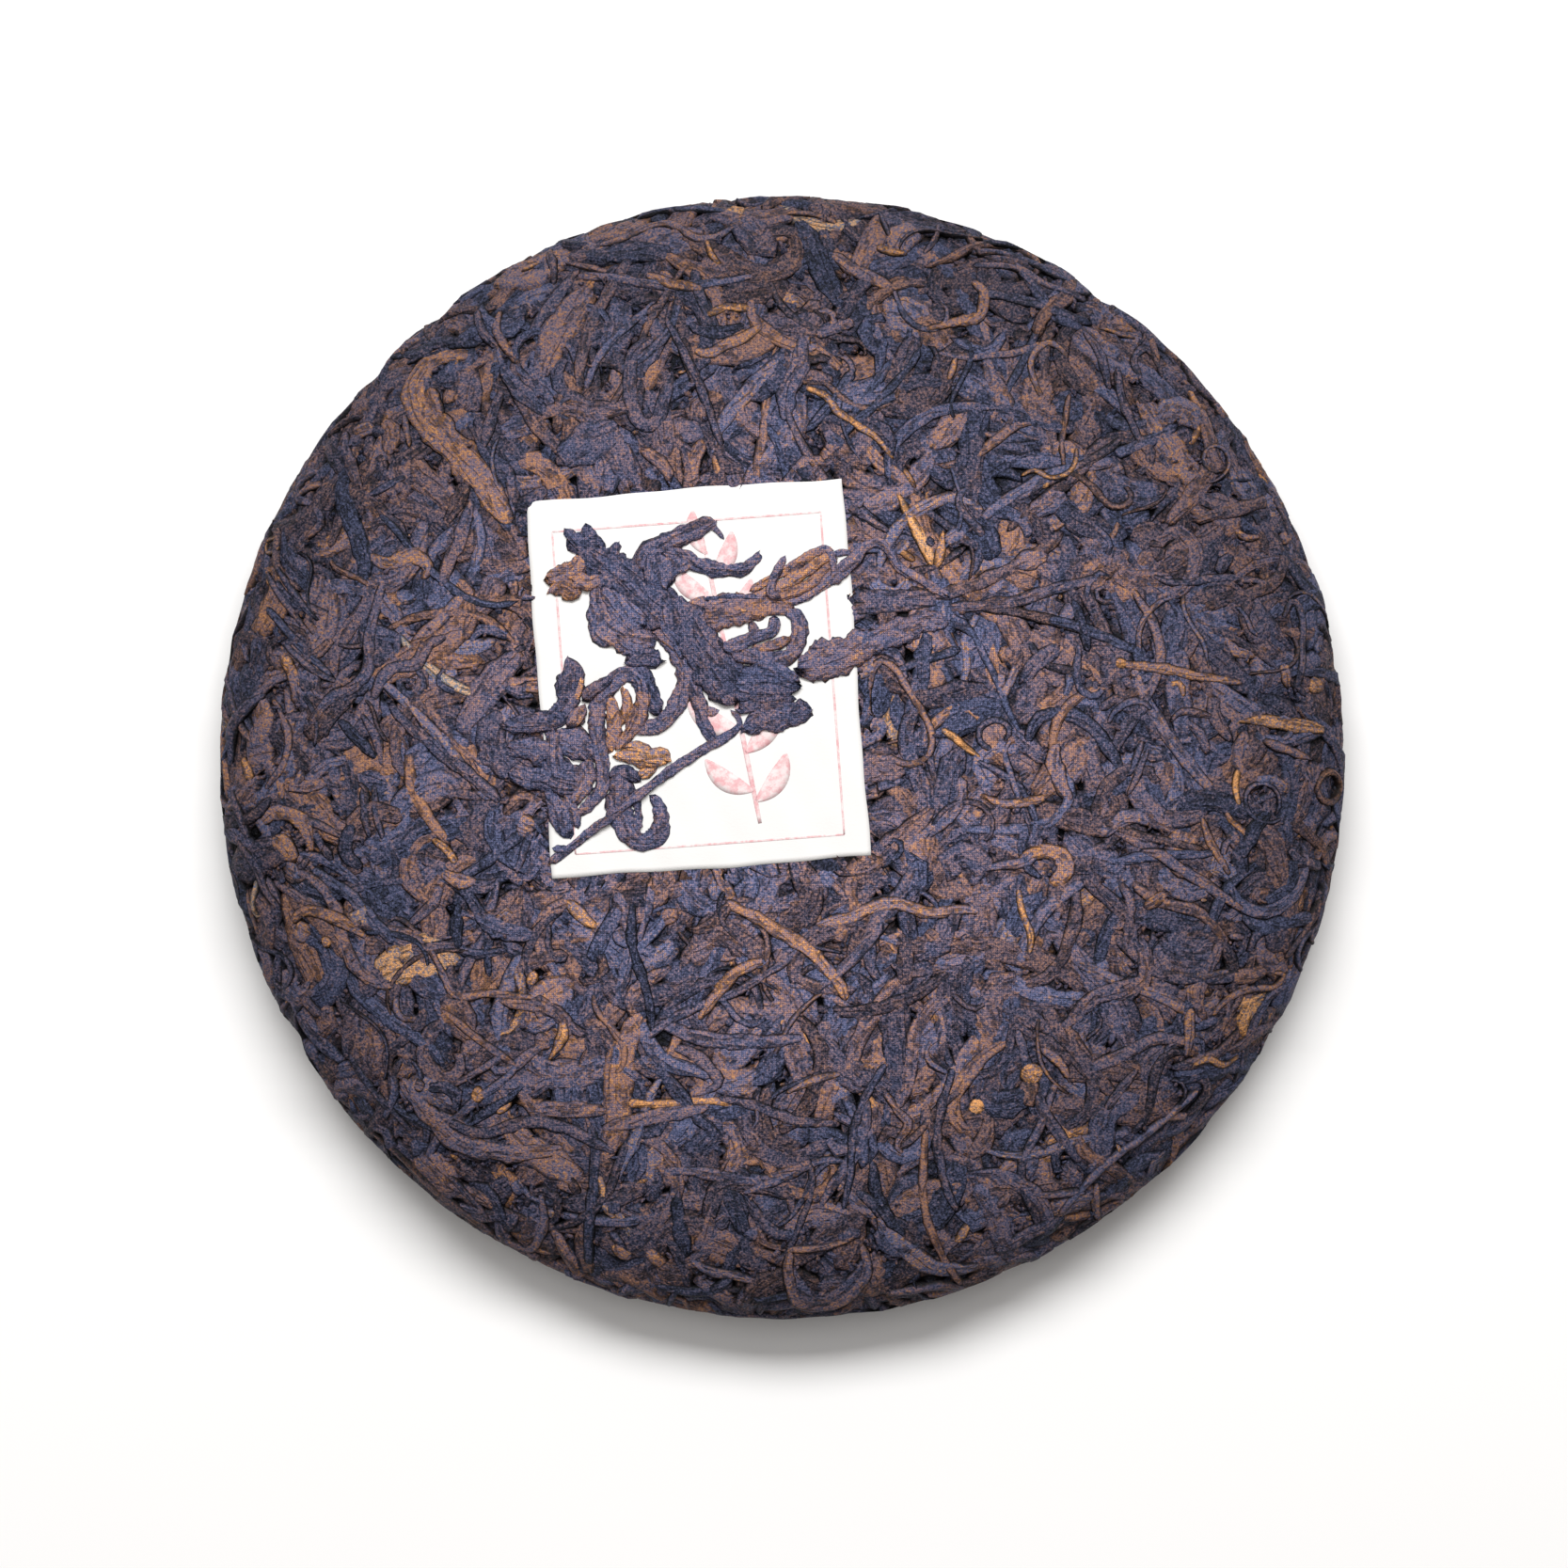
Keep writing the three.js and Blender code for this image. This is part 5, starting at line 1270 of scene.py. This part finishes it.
def leaf_material(name, look):
    """A material of dry leaf; the shared groups give its colour, roughness and relief."""
    streaks, print_share, relief = LOOKS[look]
    settings = bpy.context.scene.tea_cake
    if "Dry leaf" not in bpy.data.node_groups:
        dry_leaf_group(settings)
        cloth_print_group()
    material, net, shader, place = new_material(name)
    uv = net.add("ShaderNodeUVMap", uv_map="leaf")
    values = {
        key: net.add("ShaderNodeAttribute", attribute_name=key).outputs["Fac"]
        for key in ("tone", "seed", "hollow")
    }
    weave = net.add("ShaderNodeGroup", node_tree=bpy.data.node_groups["Cloth print"])
    net.feed(weave.inputs["Place"], place)
    net.feed(weave.inputs["Pitch"], settings.weave)
    flat = net.maths("MULTIPLY", net.window(values["hollow"], 0.35, 0.05), print_share)
    leaf = net.add("ShaderNodeGroup", node_tree=bpy.data.node_groups["Dry leaf"])
    wires = {
        "Along": uv.outputs[0],
        "Place": place,
        "Tone": values["tone"],
        "Seed": values["seed"],
        "Hollow": values["hollow"],
        "Weave": net.maths("MULTIPLY", weave.outputs["Height"], flat),
        "Streaks": streaks,
    }
    for key, value in wires.items():
        net.feed(leaf.inputs[key], value)
    height = leaf.outputs["Height"]
    bump = net.add("ShaderNodeBump", {"Strength": 1.0, "Distance": relief * MM, "Height": height})
    net.feed(shader.inputs["Base Color"], leaf.outputs["Color"])
    net.feed(shader.inputs["Roughness"], leaf.outputs["Roughness"])
    net.feed(shader.inputs["Normal"], bump.outputs[0])
    shader.inputs["Specular IOR Level"].default_value = 0.16
    return material


def paper_material():
    """Thin matt paper with faint fibres and a slight cockle."""
    settings = bpy.context.scene.tea_cake
    material, net, shader, place = new_material("ticket_paper")
    fibres = net.noise(net.stretched(place, (1, 2.2, 1)), 1400.0, 4.0, 0.6)
    cloud = net.noise(place, 90.0, 2.0)
    paper = tuple(settings.paper)
    colour = net.blend(net.window(cloud, 0.3, 0.8), (*paper, 1), (*(0.97 * c for c in paper), 1))
    bump = net.add("ShaderNodeBump", {"Strength": 0.5, "Distance": 0.05 * MM, "Height": fibres})
    net.feed(shader.inputs["Base Color"], colour)
    net.feed(shader.inputs["Normal"], bump.outputs[0])
    shader.inputs["Roughness"].default_value = 0.88
    shader.inputs["Specular IOR Level"].default_value = 0.25
    return material


def ink_material():
    """Faded red print that lets the paper show through."""
    settings = bpy.context.scene.tea_cake
    material, net, shader, place = new_material("ticket_ink")
    worn = net.window(net.noise(place, 700.0, 4.0, 0.7), 0.36, 0.66)
    ink, paper = tuple(settings.ink), tuple(settings.paper)
    faint = tuple(0.25 * a + 0.75 * b for a, b in zip(ink, paper))
    net.feed(shader.inputs["Base Color"], net.blend(worn, (*faint, 1), (*ink, 1)))
    shader.inputs["Roughness"].default_value = 0.9
    return material


def floor_material():
    """Pale plain floor with the faintest grain."""
    settings = bpy.context.scene.tea_stage
    material, net, shader, place = new_material("floor")
    floor = tuple(settings.floor)
    colour = net.blend(net.noise(place, 8.0, 2.0), (*floor, 1), (*(0.985 * c for c in floor), 1))
    net.feed(shader.inputs["Base Color"], colour)
    shader.inputs["Roughness"].default_value = 0.95
    shader.inputs["Specular IOR Level"].default_value = 0.1
    return material


# Crumbs by Geometry Nodes


def crumb_tree():
    """A tree that sets an uneven crumb on each point, turned and sized at random."""
    tree = bpy.data.node_groups.new("Scatter crumbs", "GeometryNodeTree")
    tree.is_modifier = True
    sockets = (("Geometry", "Geometry"), ("Size", "Float"), ("Seed", "Int"), ("Finish", "Material"))
    for label, kind in sockets:
        tree.interface.new_socket(label, in_out="INPUT", socket_type="NodeSocket" + kind)
    tree.interface.new_socket("Geometry", in_out="OUTPUT", socket_type="NodeSocketGeometry")
    net = Net(tree)
    given, out = net.add("NodeGroupInput"), net.add("NodeGroupOutput")
    ball = net.add("GeometryNodeMeshIcoSphere", {"Radius": 0.5, "Subdivisions": 2})
    place = net.add("GeometryNodeInputPosition")
    rough = net.add("ShaderNodeTexNoise", {"Vector": place.outputs[0], "Scale": 2.6, "Detail": 1.0})
    push = net.add("ShaderNodeMath", {0: rough.outputs["Fac"], 1: 1.5, 2: 0.3}, operation="MULTIPLY_ADD")
    inputs = {0: place.outputs[0], "Scale": push.outputs[0]}
    scaled = net.add("ShaderNodeVectorMath", inputs, operation="SCALE")
    inputs = {"Geometry": ball.outputs[0], "Position": scaled.outputs[0]}
    lump = net.add("GeometryNodeSetPosition", inputs)
    turn = net.add("FunctionNodeRandomValue", data_type="FLOAT_VECTOR")
    net.feed(turn.inputs["Max"], (6.283, 6.283, 6.283))
    net.feed(turn.inputs["Seed"], given.outputs["Seed"])
    size = net.add("FunctionNodeRandomValue", data_type="FLOAT_VECTOR")
    net.feed(size.inputs["Min"], (0.7, 0.4, 0.3))
    net.feed(size.inputs["Max"], (2.1, 1.2, 0.8))
    net.feed(size.inputs["Seed"], given.outputs["Seed"])
    inputs = {0: size.outputs[0], "Scale": given.outputs["Size"]}
    true_size = net.add("ShaderNodeVectorMath", inputs, operation="SCALE")
    inputs = {
        "Points": given.outputs["Geometry"],
        "Instance": lump.outputs[0],
        "Rotation": turn.outputs[0],
        "Scale": true_size.outputs[0],
    }
    sown = net.add("GeometryNodeInstanceOnPoints", inputs)
    real = net.add("GeometryNodeRealizeInstances", {0: sown.outputs[0]})
    inputs = {"Geometry": real.outputs[0], "Material": given.outputs["Finish"]}
    finish = net.add("GeometryNodeSetMaterial", inputs)
    smooth = net.add("GeometryNodeSetShadeSmooth", {"Geometry": finish.outputs[0]})
    net.feed(out.inputs[0], smooth.outputs[0])
    return tree


def sown_crumbs(name, points, tones, seed, material):
    """Crumbs on the given points as one plain mesh."""
    mesh = bpy.data.meshes.new(name)
    mesh.from_pydata([tuple(p) for p in points], [], [])
    # Every crumb gets the same slight share of painted shade
    shallow = np.full(len(tones), 0.15)
    for key, values in (("tone", tones), ("seed", tones * 0.7 + 0.1), ("hollow", shallow)):
        attribute = mesh.attributes.new(key, "FLOAT", "POINT")
        attribute.data.foreach_set("value", values.astype(np.float32))
    holder = bpy.data.objects.new(name, mesh)
    bpy.context.scene.collection.objects.link(holder)
    tree = bpy.data.node_groups.get("Scatter crumbs") or crumb_tree()
    modifier = holder.modifiers.new("Crumbs", "NODES")
    modifier.node_group = tree
    keys = {item.name: item.identifier for item in tree.interface.items_tree if item.in_out == "INPUT"}
    modifier[keys["Size"]] = CRUMB_SIZE * MM
    modifier[keys["Seed"]] = seed
    modifier[keys["Finish"]] = material
    graph = bpy.context.evaluated_depsgraph_get()
    whole = bpy.data.meshes.new_from_object(holder.evaluated_get(graph))
    holder.modifiers.clear()
    whole.uv_layers.new(name="leaf")
    holder.data = whole
    bpy.data.meshes.remove(mesh)
    return holder


# Shared results of the laying, made once


class Laid:
    """The beds of the top and the base, laid the first time that an operator asks."""

    beds = {}

    @classmethod
    def bed(cls, side):
        """The bed of a side, and its heights averaged around each cell."""
        if side not in cls.beds:
            settings = bpy.context.scene.tea_cake
            layers, reach, _ = SIDES[side]
            skin = Skin(cake_outline(), side == "top")
            if side == "top":
                bed = laid_bed(skin, reach, layers, settings, settings.seed, FACE_LEAVES)
            else:
                bed = laid_bed(skin, reach, layers, settings, settings.seed + 1)
            cls.beds[side] = (bed, blurred(bed.heights.astype(float), 7))
        return cls.beds[side]


def build_side(side):
    """One finished mesh for each kind of leaf on a side of the cake."""
    bed, surround = Laid.bed(side)
    showing = bed.showing(SIDES[side][2])
    for kind in KINDS:
        parts = MeshParts()
        for leaf in showing:
            hidden = bed.with_ticket and (ticket_distance(leaf.x, leaf.y) < -2.5).all()
            if leaf.kind == kind and not hidden:
                add_leaf(parts, leaf, surround, bed)
        if parts.count:
            name = f"{side}_{kind}"
            piece = parts.build(name, leaf_material(name + "_finish", kind))
            finish_piece(piece, "pressed_leaf", "tea_cake")


# Operators


class TEACAKE_OT_core(bpy.types.Operator):
    """Adds the pressed mass under the leaves, closed and uneven, made dark as painted shade for the gaps
    between the leaves.
    """

    bl_idname = "teacake.core"
    bl_label = "Pressed Core"

    def execute(self, context):
        outline = cake_outline()[::9][1:-1]
        slope = np.gradient(outline, axis=0)
        slope /= np.linalg.norm(slope, axis=1)[:, None]
        turn = np.linspace(0, 2 * math.pi, 200, endpoint=False)
        r0 = outline[:, :1] - slope[:, 1:] * CORE_DEPTH
        z0 = outline[:, 1:] + slope[:, :1] * CORE_DEPTH
        x, y = r0 * np.cos(turn), r0 * np.sin(turn)
        uneven = 0.35 * np.sin(x * 0.9) * np.sin(y * 0.8 + 1) + 0.25 * np.sin(x * 0.37 + y * 0.45)
        r = r0 - uneven * slope[:, 1:]
        z = np.maximum(z0 + uneven * slope[:, :1], 0.3)
        points = np.stack([r * np.cos(turn), r * np.sin(turn), z], axis=-1) * MM
        tips = [np.array([0, 0, z]) * MM for z in (HOLLOW_DEPTH + CORE_DEPTH, CAKE_TOP - CORE_DEPTH)]
        piece = turned_piece("core", points, tips, leaf_material("core_finish", "core"))
        finish_piece(piece, "pressed_leaf", "tea_cake")
        return {"FINISHED"}


class TEACAKE_OT_top_leaves(bpy.types.Operator):
    """Adds the leaves that show on the top and the rim, one mesh for each kind."""

    bl_idname = "teacake.top_leaves"
    bl_label = "Top Leaves"

    def execute(self, context):
        build_side("top")
        return {"FINISHED"}


class TEACAKE_OT_base_leaves(bpy.types.Operator):
    """Adds the leaves of the underside and its knot hollow, one mesh for each kind."""

    bl_idname = "teacake.base_leaves"
    bl_label = "Base Leaves"

    def execute(self, context):
        build_side("base")
        return {"FINISHED"}


class TEACAKE_OT_crumbs(bpy.types.Operator):
    """Sows crumbs in the gaps between the leaves, more of them at the rim."""

    bl_idname = "teacake.crumbs"
    bl_label = "Crumbs"

    def execute(self, context):
        settings = context.scene.tea_cake
        for side, share in (("top", 1.0), ("base", 0.4)):
            bed, surround = Laid.bed(side)
            rng = np.random.default_rng(settings.seed + 11)
            deep = surround - bed.heights
            i, j = np.nonzero((deep > 0.45) & (bed.heights > bed.DEEPEST + 0.1))
            x, y = i * bed.CELL - bed.half, j * bed.CELL - bed.half
            run = np.hypot(x, y)
            keep = (run < CRUMB_REACH) & (rng.random(len(x)) < 0.25 + 0.75 * looseness(run))
            keep &= (ticket_distance(x, y) > 1.5) | (not bed.with_ticket)
            keep &= np.interp(run, bed.skin.run, bed.skin.height) > 2.5
            chosen = rng.permutation(np.flatnonzero(keep))[: int(settings.crumbs * share)]
            level = settled(bed, x[chosen], y[chosen], bed.heights[i[chosen], j[chosen]]) + 0.2
            points = bed.skin.place(x[chosen], y[chosen], level)
            tones = np.array([random_tone(rng, "flake") for _ in chosen])
            material = leaf_material(side + "_crumb_finish", "crumb")
            piece = sown_crumbs(side + "_crumbs", points, tones, settings.seed, material)
            finish_piece(piece, "pressed_leaf", "tea_cake")
        return {"FINISHED"}


def ticket_point(u, v, level):
    """Points on the ticket, from places along its own sides and a level."""
    x = TICKET_MIDDLE[0] + u * math.cos(TICKET_TURN) - v * math.sin(TICKET_TURN)
    y = TICKET_MIDDLE[1] + u * math.sin(TICKET_TURN) + v * math.cos(TICKET_TURN)
    cockle = 0.05 * np.sin(x * 0.33 + 1) * np.sin(y * 0.29) + 0.04 * np.sin(x * 0.8 + y * 0.5)
    skin = Laid.bed("top")[0].skin
    return skin.place(*skin.unrolled(x, y), level + cockle)


def ribbon(parts, u, v, wide, level, pointed=False):
    """A flat strip on the ticket along a line, a little proud of the paper."""
    path, _ = through(np.column_stack([u, v]), max(int(len(u) * 4), 12))
    side = headings(path)[1] * 0.5
    s = np.linspace(0.02, 0.98, len(path))
    half = wide * np.sin(math.pi * s)[:, None] ** (0.8 if pointed else 0.12)
    rows = [path + side * half * k for k in (-1, -0.4, 0.4, 1)]
    top = np.stack([ticket_point(*row.T, level) for row in rows], axis=1)
    low = np.stack([ticket_point(*row.T, level - PRINT_THICK) for row in rows[::-1]], axis=1)
    points = np.concatenate([top, low], axis=1)
    tips = np.stack([points[0].mean(axis=0), points[-1].mean(axis=0)])
    flat = np.concatenate([points.reshape(-1, 3), tips])
    parts.add(flat, np.zeros((len(flat), 2)), 0.5, 0.5, 0.0, len(path), 2 * len(rows))


class TEACAKE_OT_ticket(bpy.types.Operator):
    """Adds the paper ticket, bent over the cake, with slightly worn edges."""

    bl_idname = "teacake.ticket"
    bl_label = "Paper Ticket"

    def execute(self, context):
        wide, high = TICKET_SIZE
        columns, rows = 64, 76
        u, v = np.meshgrid(np.linspace(-0.5, 0.5, columns), np.linspace(-0.5, 0.5, rows), indexing="ij")
        wear_u = 0.16 * np.sin(v * 9) + 0.07 * np.sin(v * 31 + 2)
        wear_v = 0.20 * np.sin(u * 8 + 1) + 0.08 * np.sin(u * 27)
        x = u * wide * (1 - 0.2 / wide) + np.sign(u) * wear_u * (2 * np.abs(u)) ** 8
        y = v * high * (1 - 0.2 / high) + np.sign(v) * wear_v * (2 * np.abs(v)) ** 8
        corner = np.clip(1.2 - np.hypot(u * wide + wide / 2, v * high - high / 2), 0, None)
        x, y = x + 0.6 * corner, y - 0.6 * corner
        top = ticket_point(x, y, TICKET_LEVEL)
        low = ticket_point(x, y, TICKET_LEVEL - TICKET_THICK)
        index = np.arange(columns * rows).reshape(columns, rows)
        a, b, c, d = index[:-1, :-1], index[1:, :-1], index[1:, 1:], index[:-1, 1:]
        upper = np.stack([a, b, c, d], axis=-1).reshape(-1, 4)
        lower = upper[:, ::-1] + index.size
        ring = np.concatenate([index[:, 0], index[-1, 1:], index[-2::-1, -1], index[0, -2:0:-1]])
        following = np.roll(ring, -1)
        walls = np.stack([ring, ring + index.size, following + index.size, following], axis=-1)
        points = np.concatenate([top.reshape(-1, 3), low.reshape(-1, 3)])
        mesh = bpy.data.meshes.new("ticket_sheet")
        mesh.from_pydata(points.tolist(), [], np.concatenate([upper, lower, walls]).tolist())
        mesh.shade_smooth()
        mesh.materials.append(paper_material())
        piece = bpy.data.objects.new("ticket_sheet", mesh)
        context.scene.collection.objects.link(piece)
        finish_piece(piece, "ticket_paper", "paper_ticket")
        return {"FINISHED"}


class TEACAKE_OT_ticket_print(bpy.types.Operator):
    """Adds the ticket's faded print: a plain rule and a leaf sprig."""

    bl_idname = "teacake.ticket_print"
    bl_label = "Ticket Print"

    def execute(self, context):
        parts = MeshParts()
        side, bottom, top = RULE_INSET
        left, right = -TICKET_SIZE[0] / 2 + side, TICKET_SIZE[0] / 2 - side
        low, high = -TICKET_SIZE[1] / 2 + bottom, TICKET_SIZE[1] / 2 - top
        corners = [(left, low), (right, low), (right, high), (left, high), (left, low)]
        for (u0, v0), (u1, v1) in zip(corners, corners[1:]):
            ribbon(parts, np.linspace(u0, u1, 12), np.linspace(v0, v1, 12), 0.42, PRINT_LEVEL)
        s = np.linspace(0, 1, 9)
        stem_u, stem_v = 9 - 6 * s, -26 + 48 * s
        ribbon(parts, stem_u, stem_v, 0.9, PRINT_LEVEL)
        for at, long, lean in SPRIG:
            heading = math.pi / 2 + 0.12 + lean
            u0, v0 = np.interp(at, s, stem_u), np.interp(at, s, stem_v)
            bend = 0.12 * long * np.sin(math.pi * s) * np.sign(lean)
            u = u0 + s * long * math.cos(heading) - bend * math.sin(heading)
            v = v0 + s * long * math.sin(heading) + bend * math.cos(heading)
            ribbon(parts, u, v, 0.36 * long, PRINT_LEVEL, pointed=True)
        piece = parts.build("ticket_print", ink_material())
        finish_piece(piece, "ticket_paper", "paper_ticket")
        return {"FINISHED"}


def fray(leaf, s, span, wide, rng):
    """Tears the ends of a leaf and nibbles its two sides."""
    ahead, side = headings(leaf.path)
    for away, width in ((s, wide[0]), (span - s, wide[-1])):
        torn = rng.uniform(-0.34, 0.34, len(ACROSS)) * min(width, 4.0)
        pull = np.exp(-((away / (0.3 * width + 0.2)) ** 2))[:, None] * torn
        leaf.x += ahead[:, :1] * pull
        leaf.y += ahead[:, 1:] * pull
    nibble = rng.normal(0, 0.02, leaf.x.shape) * np.clip(wide, 1, 6)[:, None] * np.abs(ACROSS) ** 4
    leaf.x += side[:, :1] * nibble
    leaf.y += side[:, 1:] * nibble


def ticket_strand(rng, strand, tone, bed):
    """One strand of a leaf over the ticket, resting on the paper or on the cake beside it."""
    rows = np.array([tuple(p) + (0.0,) * (4 - len(p)) for p in strand], float)
    xy = np.column_stack(bed.skin.unrolled(rows[:, 0], rows[:, 1]))
    control = np.column_stack([xy, rows[:, 2:]])
    span = float(np.hypot(*np.diff(xy, axis=0).T).sum())
    curve, span = through(control, int(np.clip(span / 0.45, 8, 90)))
    path, wide, rise = curve[:, :2], curve[:, 2], curve[:, 3]
    n = len(path)
    s = np.linspace(0, 1, n) * span
    end = np.minimum(s, span - s)
    tip = np.clip(end / np.maximum(0.45 * wide, 0.3), 0, 1)
    half = 0.5 * wide * np.sqrt(np.maximum(1 - (1 - tip) ** 2, 0.0)) * (1 + 0.05 * ripple(s, rng, 1.4))
    drop = float(np.clip(0.30 + 0.16 * wide.max(), 0.45, 0.95))
    inside = (ticket_distance(path[:, 0], path[:, 1]) < 0.2).astype(float)
    inside = smoothed(inside, 6)
    floor = TICKET_LEVEL * inside + 0.02 * (1 - inside)
    crown = floor + drop + rise + 0.10 * ripple(s, rng, 6.0)
    ridges = float(np.clip(wide.max() / 1.7, 1.0, 2.6))
    leaf = Leaf("over", path, np.maximum(half, 0.02), crown, drop, 2.8, rng, tone, ridges)
    leaf.floor = floor + rise * 0.8
    leaf.seed = rng.uniform(0.22, 0.44) + (0.35 if tone > 0.55 else 0)
    fray(leaf, s, span, wide, rng)
    return leaf


def add_loose_leaf(parts, leaf, tone, skin):
    """Closes a leaf over the ticket with a narrower under side and adds it to the mesh."""
    middle_x, middle_y = leaf.path[:, :1], leaf.path[:, 1:]
    edge_x, edge_y = leaf.x[:, [-1, 0]], leaf.y[:, [-1, 0]]
    under_x, under_y = middle_x + 0.55 * (edge_x - middle_x), middle_y + 0.55 * (edge_y - middle_y)
    low = np.minimum(leaf.floor[:, None] + 0.01, leaf.h.min(axis=1, keepdims=True) - 0.05)
    x, y, h = np.hstack([leaf.x, under_x]), np.hstack([leaf.y, under_y]), np.hstack([leaf.h, low, low])
    offset = np.hstack([leaf.offset, leaf.offset[:, -1:], leaf.offset[:, :1]])
    # Painted shade, carried in the attribute hollow: darker the lower a place lies under the leaf's crown,
    # and at its tips
    hollow = np.clip((leaf.h.max(axis=1, keepdims=True) - h) / (2.2 * leaf.drop), 0, 0.6)
    hollow = np.concatenate([hollow.ravel(), [0.3, 0.3]])
    tips = leaf.path[[0, -1]]
    x = np.concatenate([x.ravel(), tips[:, 0]])
    y = np.concatenate([y.ravel(), tips[:, 1]])
    h = np.concatenate([h.ravel(), leaf.h[[0, -1]].mean(axis=1) - 0.05])
    points = skin.place(x, y, pressed(h, OVER_TICKET_LEVEL))
    uvs = leaf_uvs(leaf, leaf.run, offset)
    parts.add(points, uvs, tone, leaf.seed, hollow, leaf.rings, offset.shape[1])


class TEACAKE_OT_ticket_leaves(bpy.types.Operator):
    """Adds the leaves, stems and buds over the ticket, each in place of its solid."""

    bl_idname = "teacake.ticket_leaves"
    bl_label = "Leaves Over the Ticket"

    def execute(self, context):
        settings = context.scene.tea_cake
        bed, _ = Laid.bed("top")
        material = leaf_material("loose_leaf_finish", "loose")
        for k, (node, (leaf_tone, strands)) in enumerate(TICKET_LEAVES.items()):
            rng = np.random.default_rng(settings.seed * 100 + k)
            parts = MeshParts()
            for strand in strands:
                tone = leaf_tone
                if not isinstance(strand[-1], tuple):
                    strand, tone = strand[:-1], strand[-1]
                leaf = ticket_strand(rng, strand, tone, bed)
                add_loose_leaf(parts, leaf, tone, bed.skin)
            piece = parts.build(node + "_real", material)
            finish_piece(piece, "golden_leaf" if node in GOLDEN else "loose_leaf", node)
        return {"FINISHED"}


class TEACAKE_OT_stage(bpy.types.Operator):
    """Adds the pale floor, soft light from above and the camera that looks straight down."""

    bl_idname = "teacake.stage"
    bl_label = "Stage"

    def execute(self, context):
        settings = context.scene.tea_stage
        scene = context.scene
        mesh = bpy.data.meshes.new("floor")
        corners = [(x * FLOOR_HALF, y * FLOOR_HALF, 0) for x, y in ((-1, -1), (1, -1), (1, 1), (-1, 1))]
        mesh.from_pydata(corners, [], [(0, 1, 2, 3)])
        mesh.materials.append(floor_material())
        floor = bpy.data.objects.new("floor", mesh)
        scene.collection.objects.link(floor)
        world = bpy.data.worlds.new("studio")
        world.use_nodes = True
        background = world.node_tree.nodes["Background"]
        background.inputs[0].default_value = (*SKY, 1)
        background.inputs[1].default_value = SKY_STRENGTH
        scene.world = world
        for name, (place, wide, deep, power) in LAMPS.items():
            lamp = bpy.data.lights.new(name, "AREA")
            lamp.shape = "ELLIPSE"
            lamp.size, lamp.size_y = wide, deep
            lamp.energy = power
            light = bpy.data.objects.new(name, lamp)
            light.location = place
            scene.collection.objects.link(light)
            aim = light.constraints.new("TRACK_TO")
            aim.target = floor
            aim.track_axis, aim.up_axis = "TRACK_NEGATIVE_Z", "UP_Y"
        sight = bpy.data.cameras.new("camera")
        sight.lens = settings.lens
        sight.sensor_width = 36.0
        sight.clip_end = 20.0
        camera = bpy.data.objects.new("camera", sight)
        above_rim = settings.field * settings.lens / sight.sensor_width
        camera.location = (CAMERA_X, CAMERA_Y, EQUATOR * MM + above_rim)
        scene.collection.objects.link(camera)
        scene.camera = camera
        scene.view_settings.view_transform = "Standard"
        scene.view_settings.look = "None"
        return {"FINISHED"}


class TEACAKE_PT_panel(bpy.types.Panel):
    """Lists the pieces of the tea cake and its stage."""

    bl_label = "Tea Cake"
    bl_idname = "TEACAKE_PT_panel"
    bl_space_type = "VIEW_3D"
    bl_region_type = "UI"
    bl_category = "Tea Cake"

    def draw(self, context):
        layout = self.layout
        for settings in (context.scene.tea_cake, context.scene.tea_stage):
            for key in settings.bl_rna.properties.keys():
                if key not in ("rna_type", "name"):
                    layout.prop(settings, key)
        for operator in OPERATORS:
            layout.operator(operator.bl_idname)


OPERATORS = (
    TEACAKE_OT_stage,
    TEACAKE_OT_core,
    TEACAKE_OT_top_leaves,
    TEACAKE_OT_base_leaves,
    TEACAKE_OT_crumbs,
    TEACAKE_OT_ticket,
    TEACAKE_OT_ticket_print,
    TEACAKE_OT_ticket_leaves,
)
CLASSES = (TeaCakeSettings, TeaStageSettings, *OPERATORS, TEACAKE_PT_panel)


def register():
    for cls in CLASSES:
        bpy.utils.register_class(cls)
    bpy.types.Scene.tea_cake = PointerProperty(type=TeaCakeSettings)
    bpy.types.Scene.tea_stage = PointerProperty(type=TeaStageSettings)


def unregister():
    del bpy.types.Scene.tea_stage
    del bpy.types.Scene.tea_cake
    for cls in reversed(CLASSES):
        bpy.utils.unregister_class(cls)


def main():
    """Adds every piece."""
    register()
    for operator in OPERATORS:
        group, name = operator.bl_idname.split(".")
        getattr(getattr(bpy.ops, group), name)()


if __name__ == "__main__":
    main()
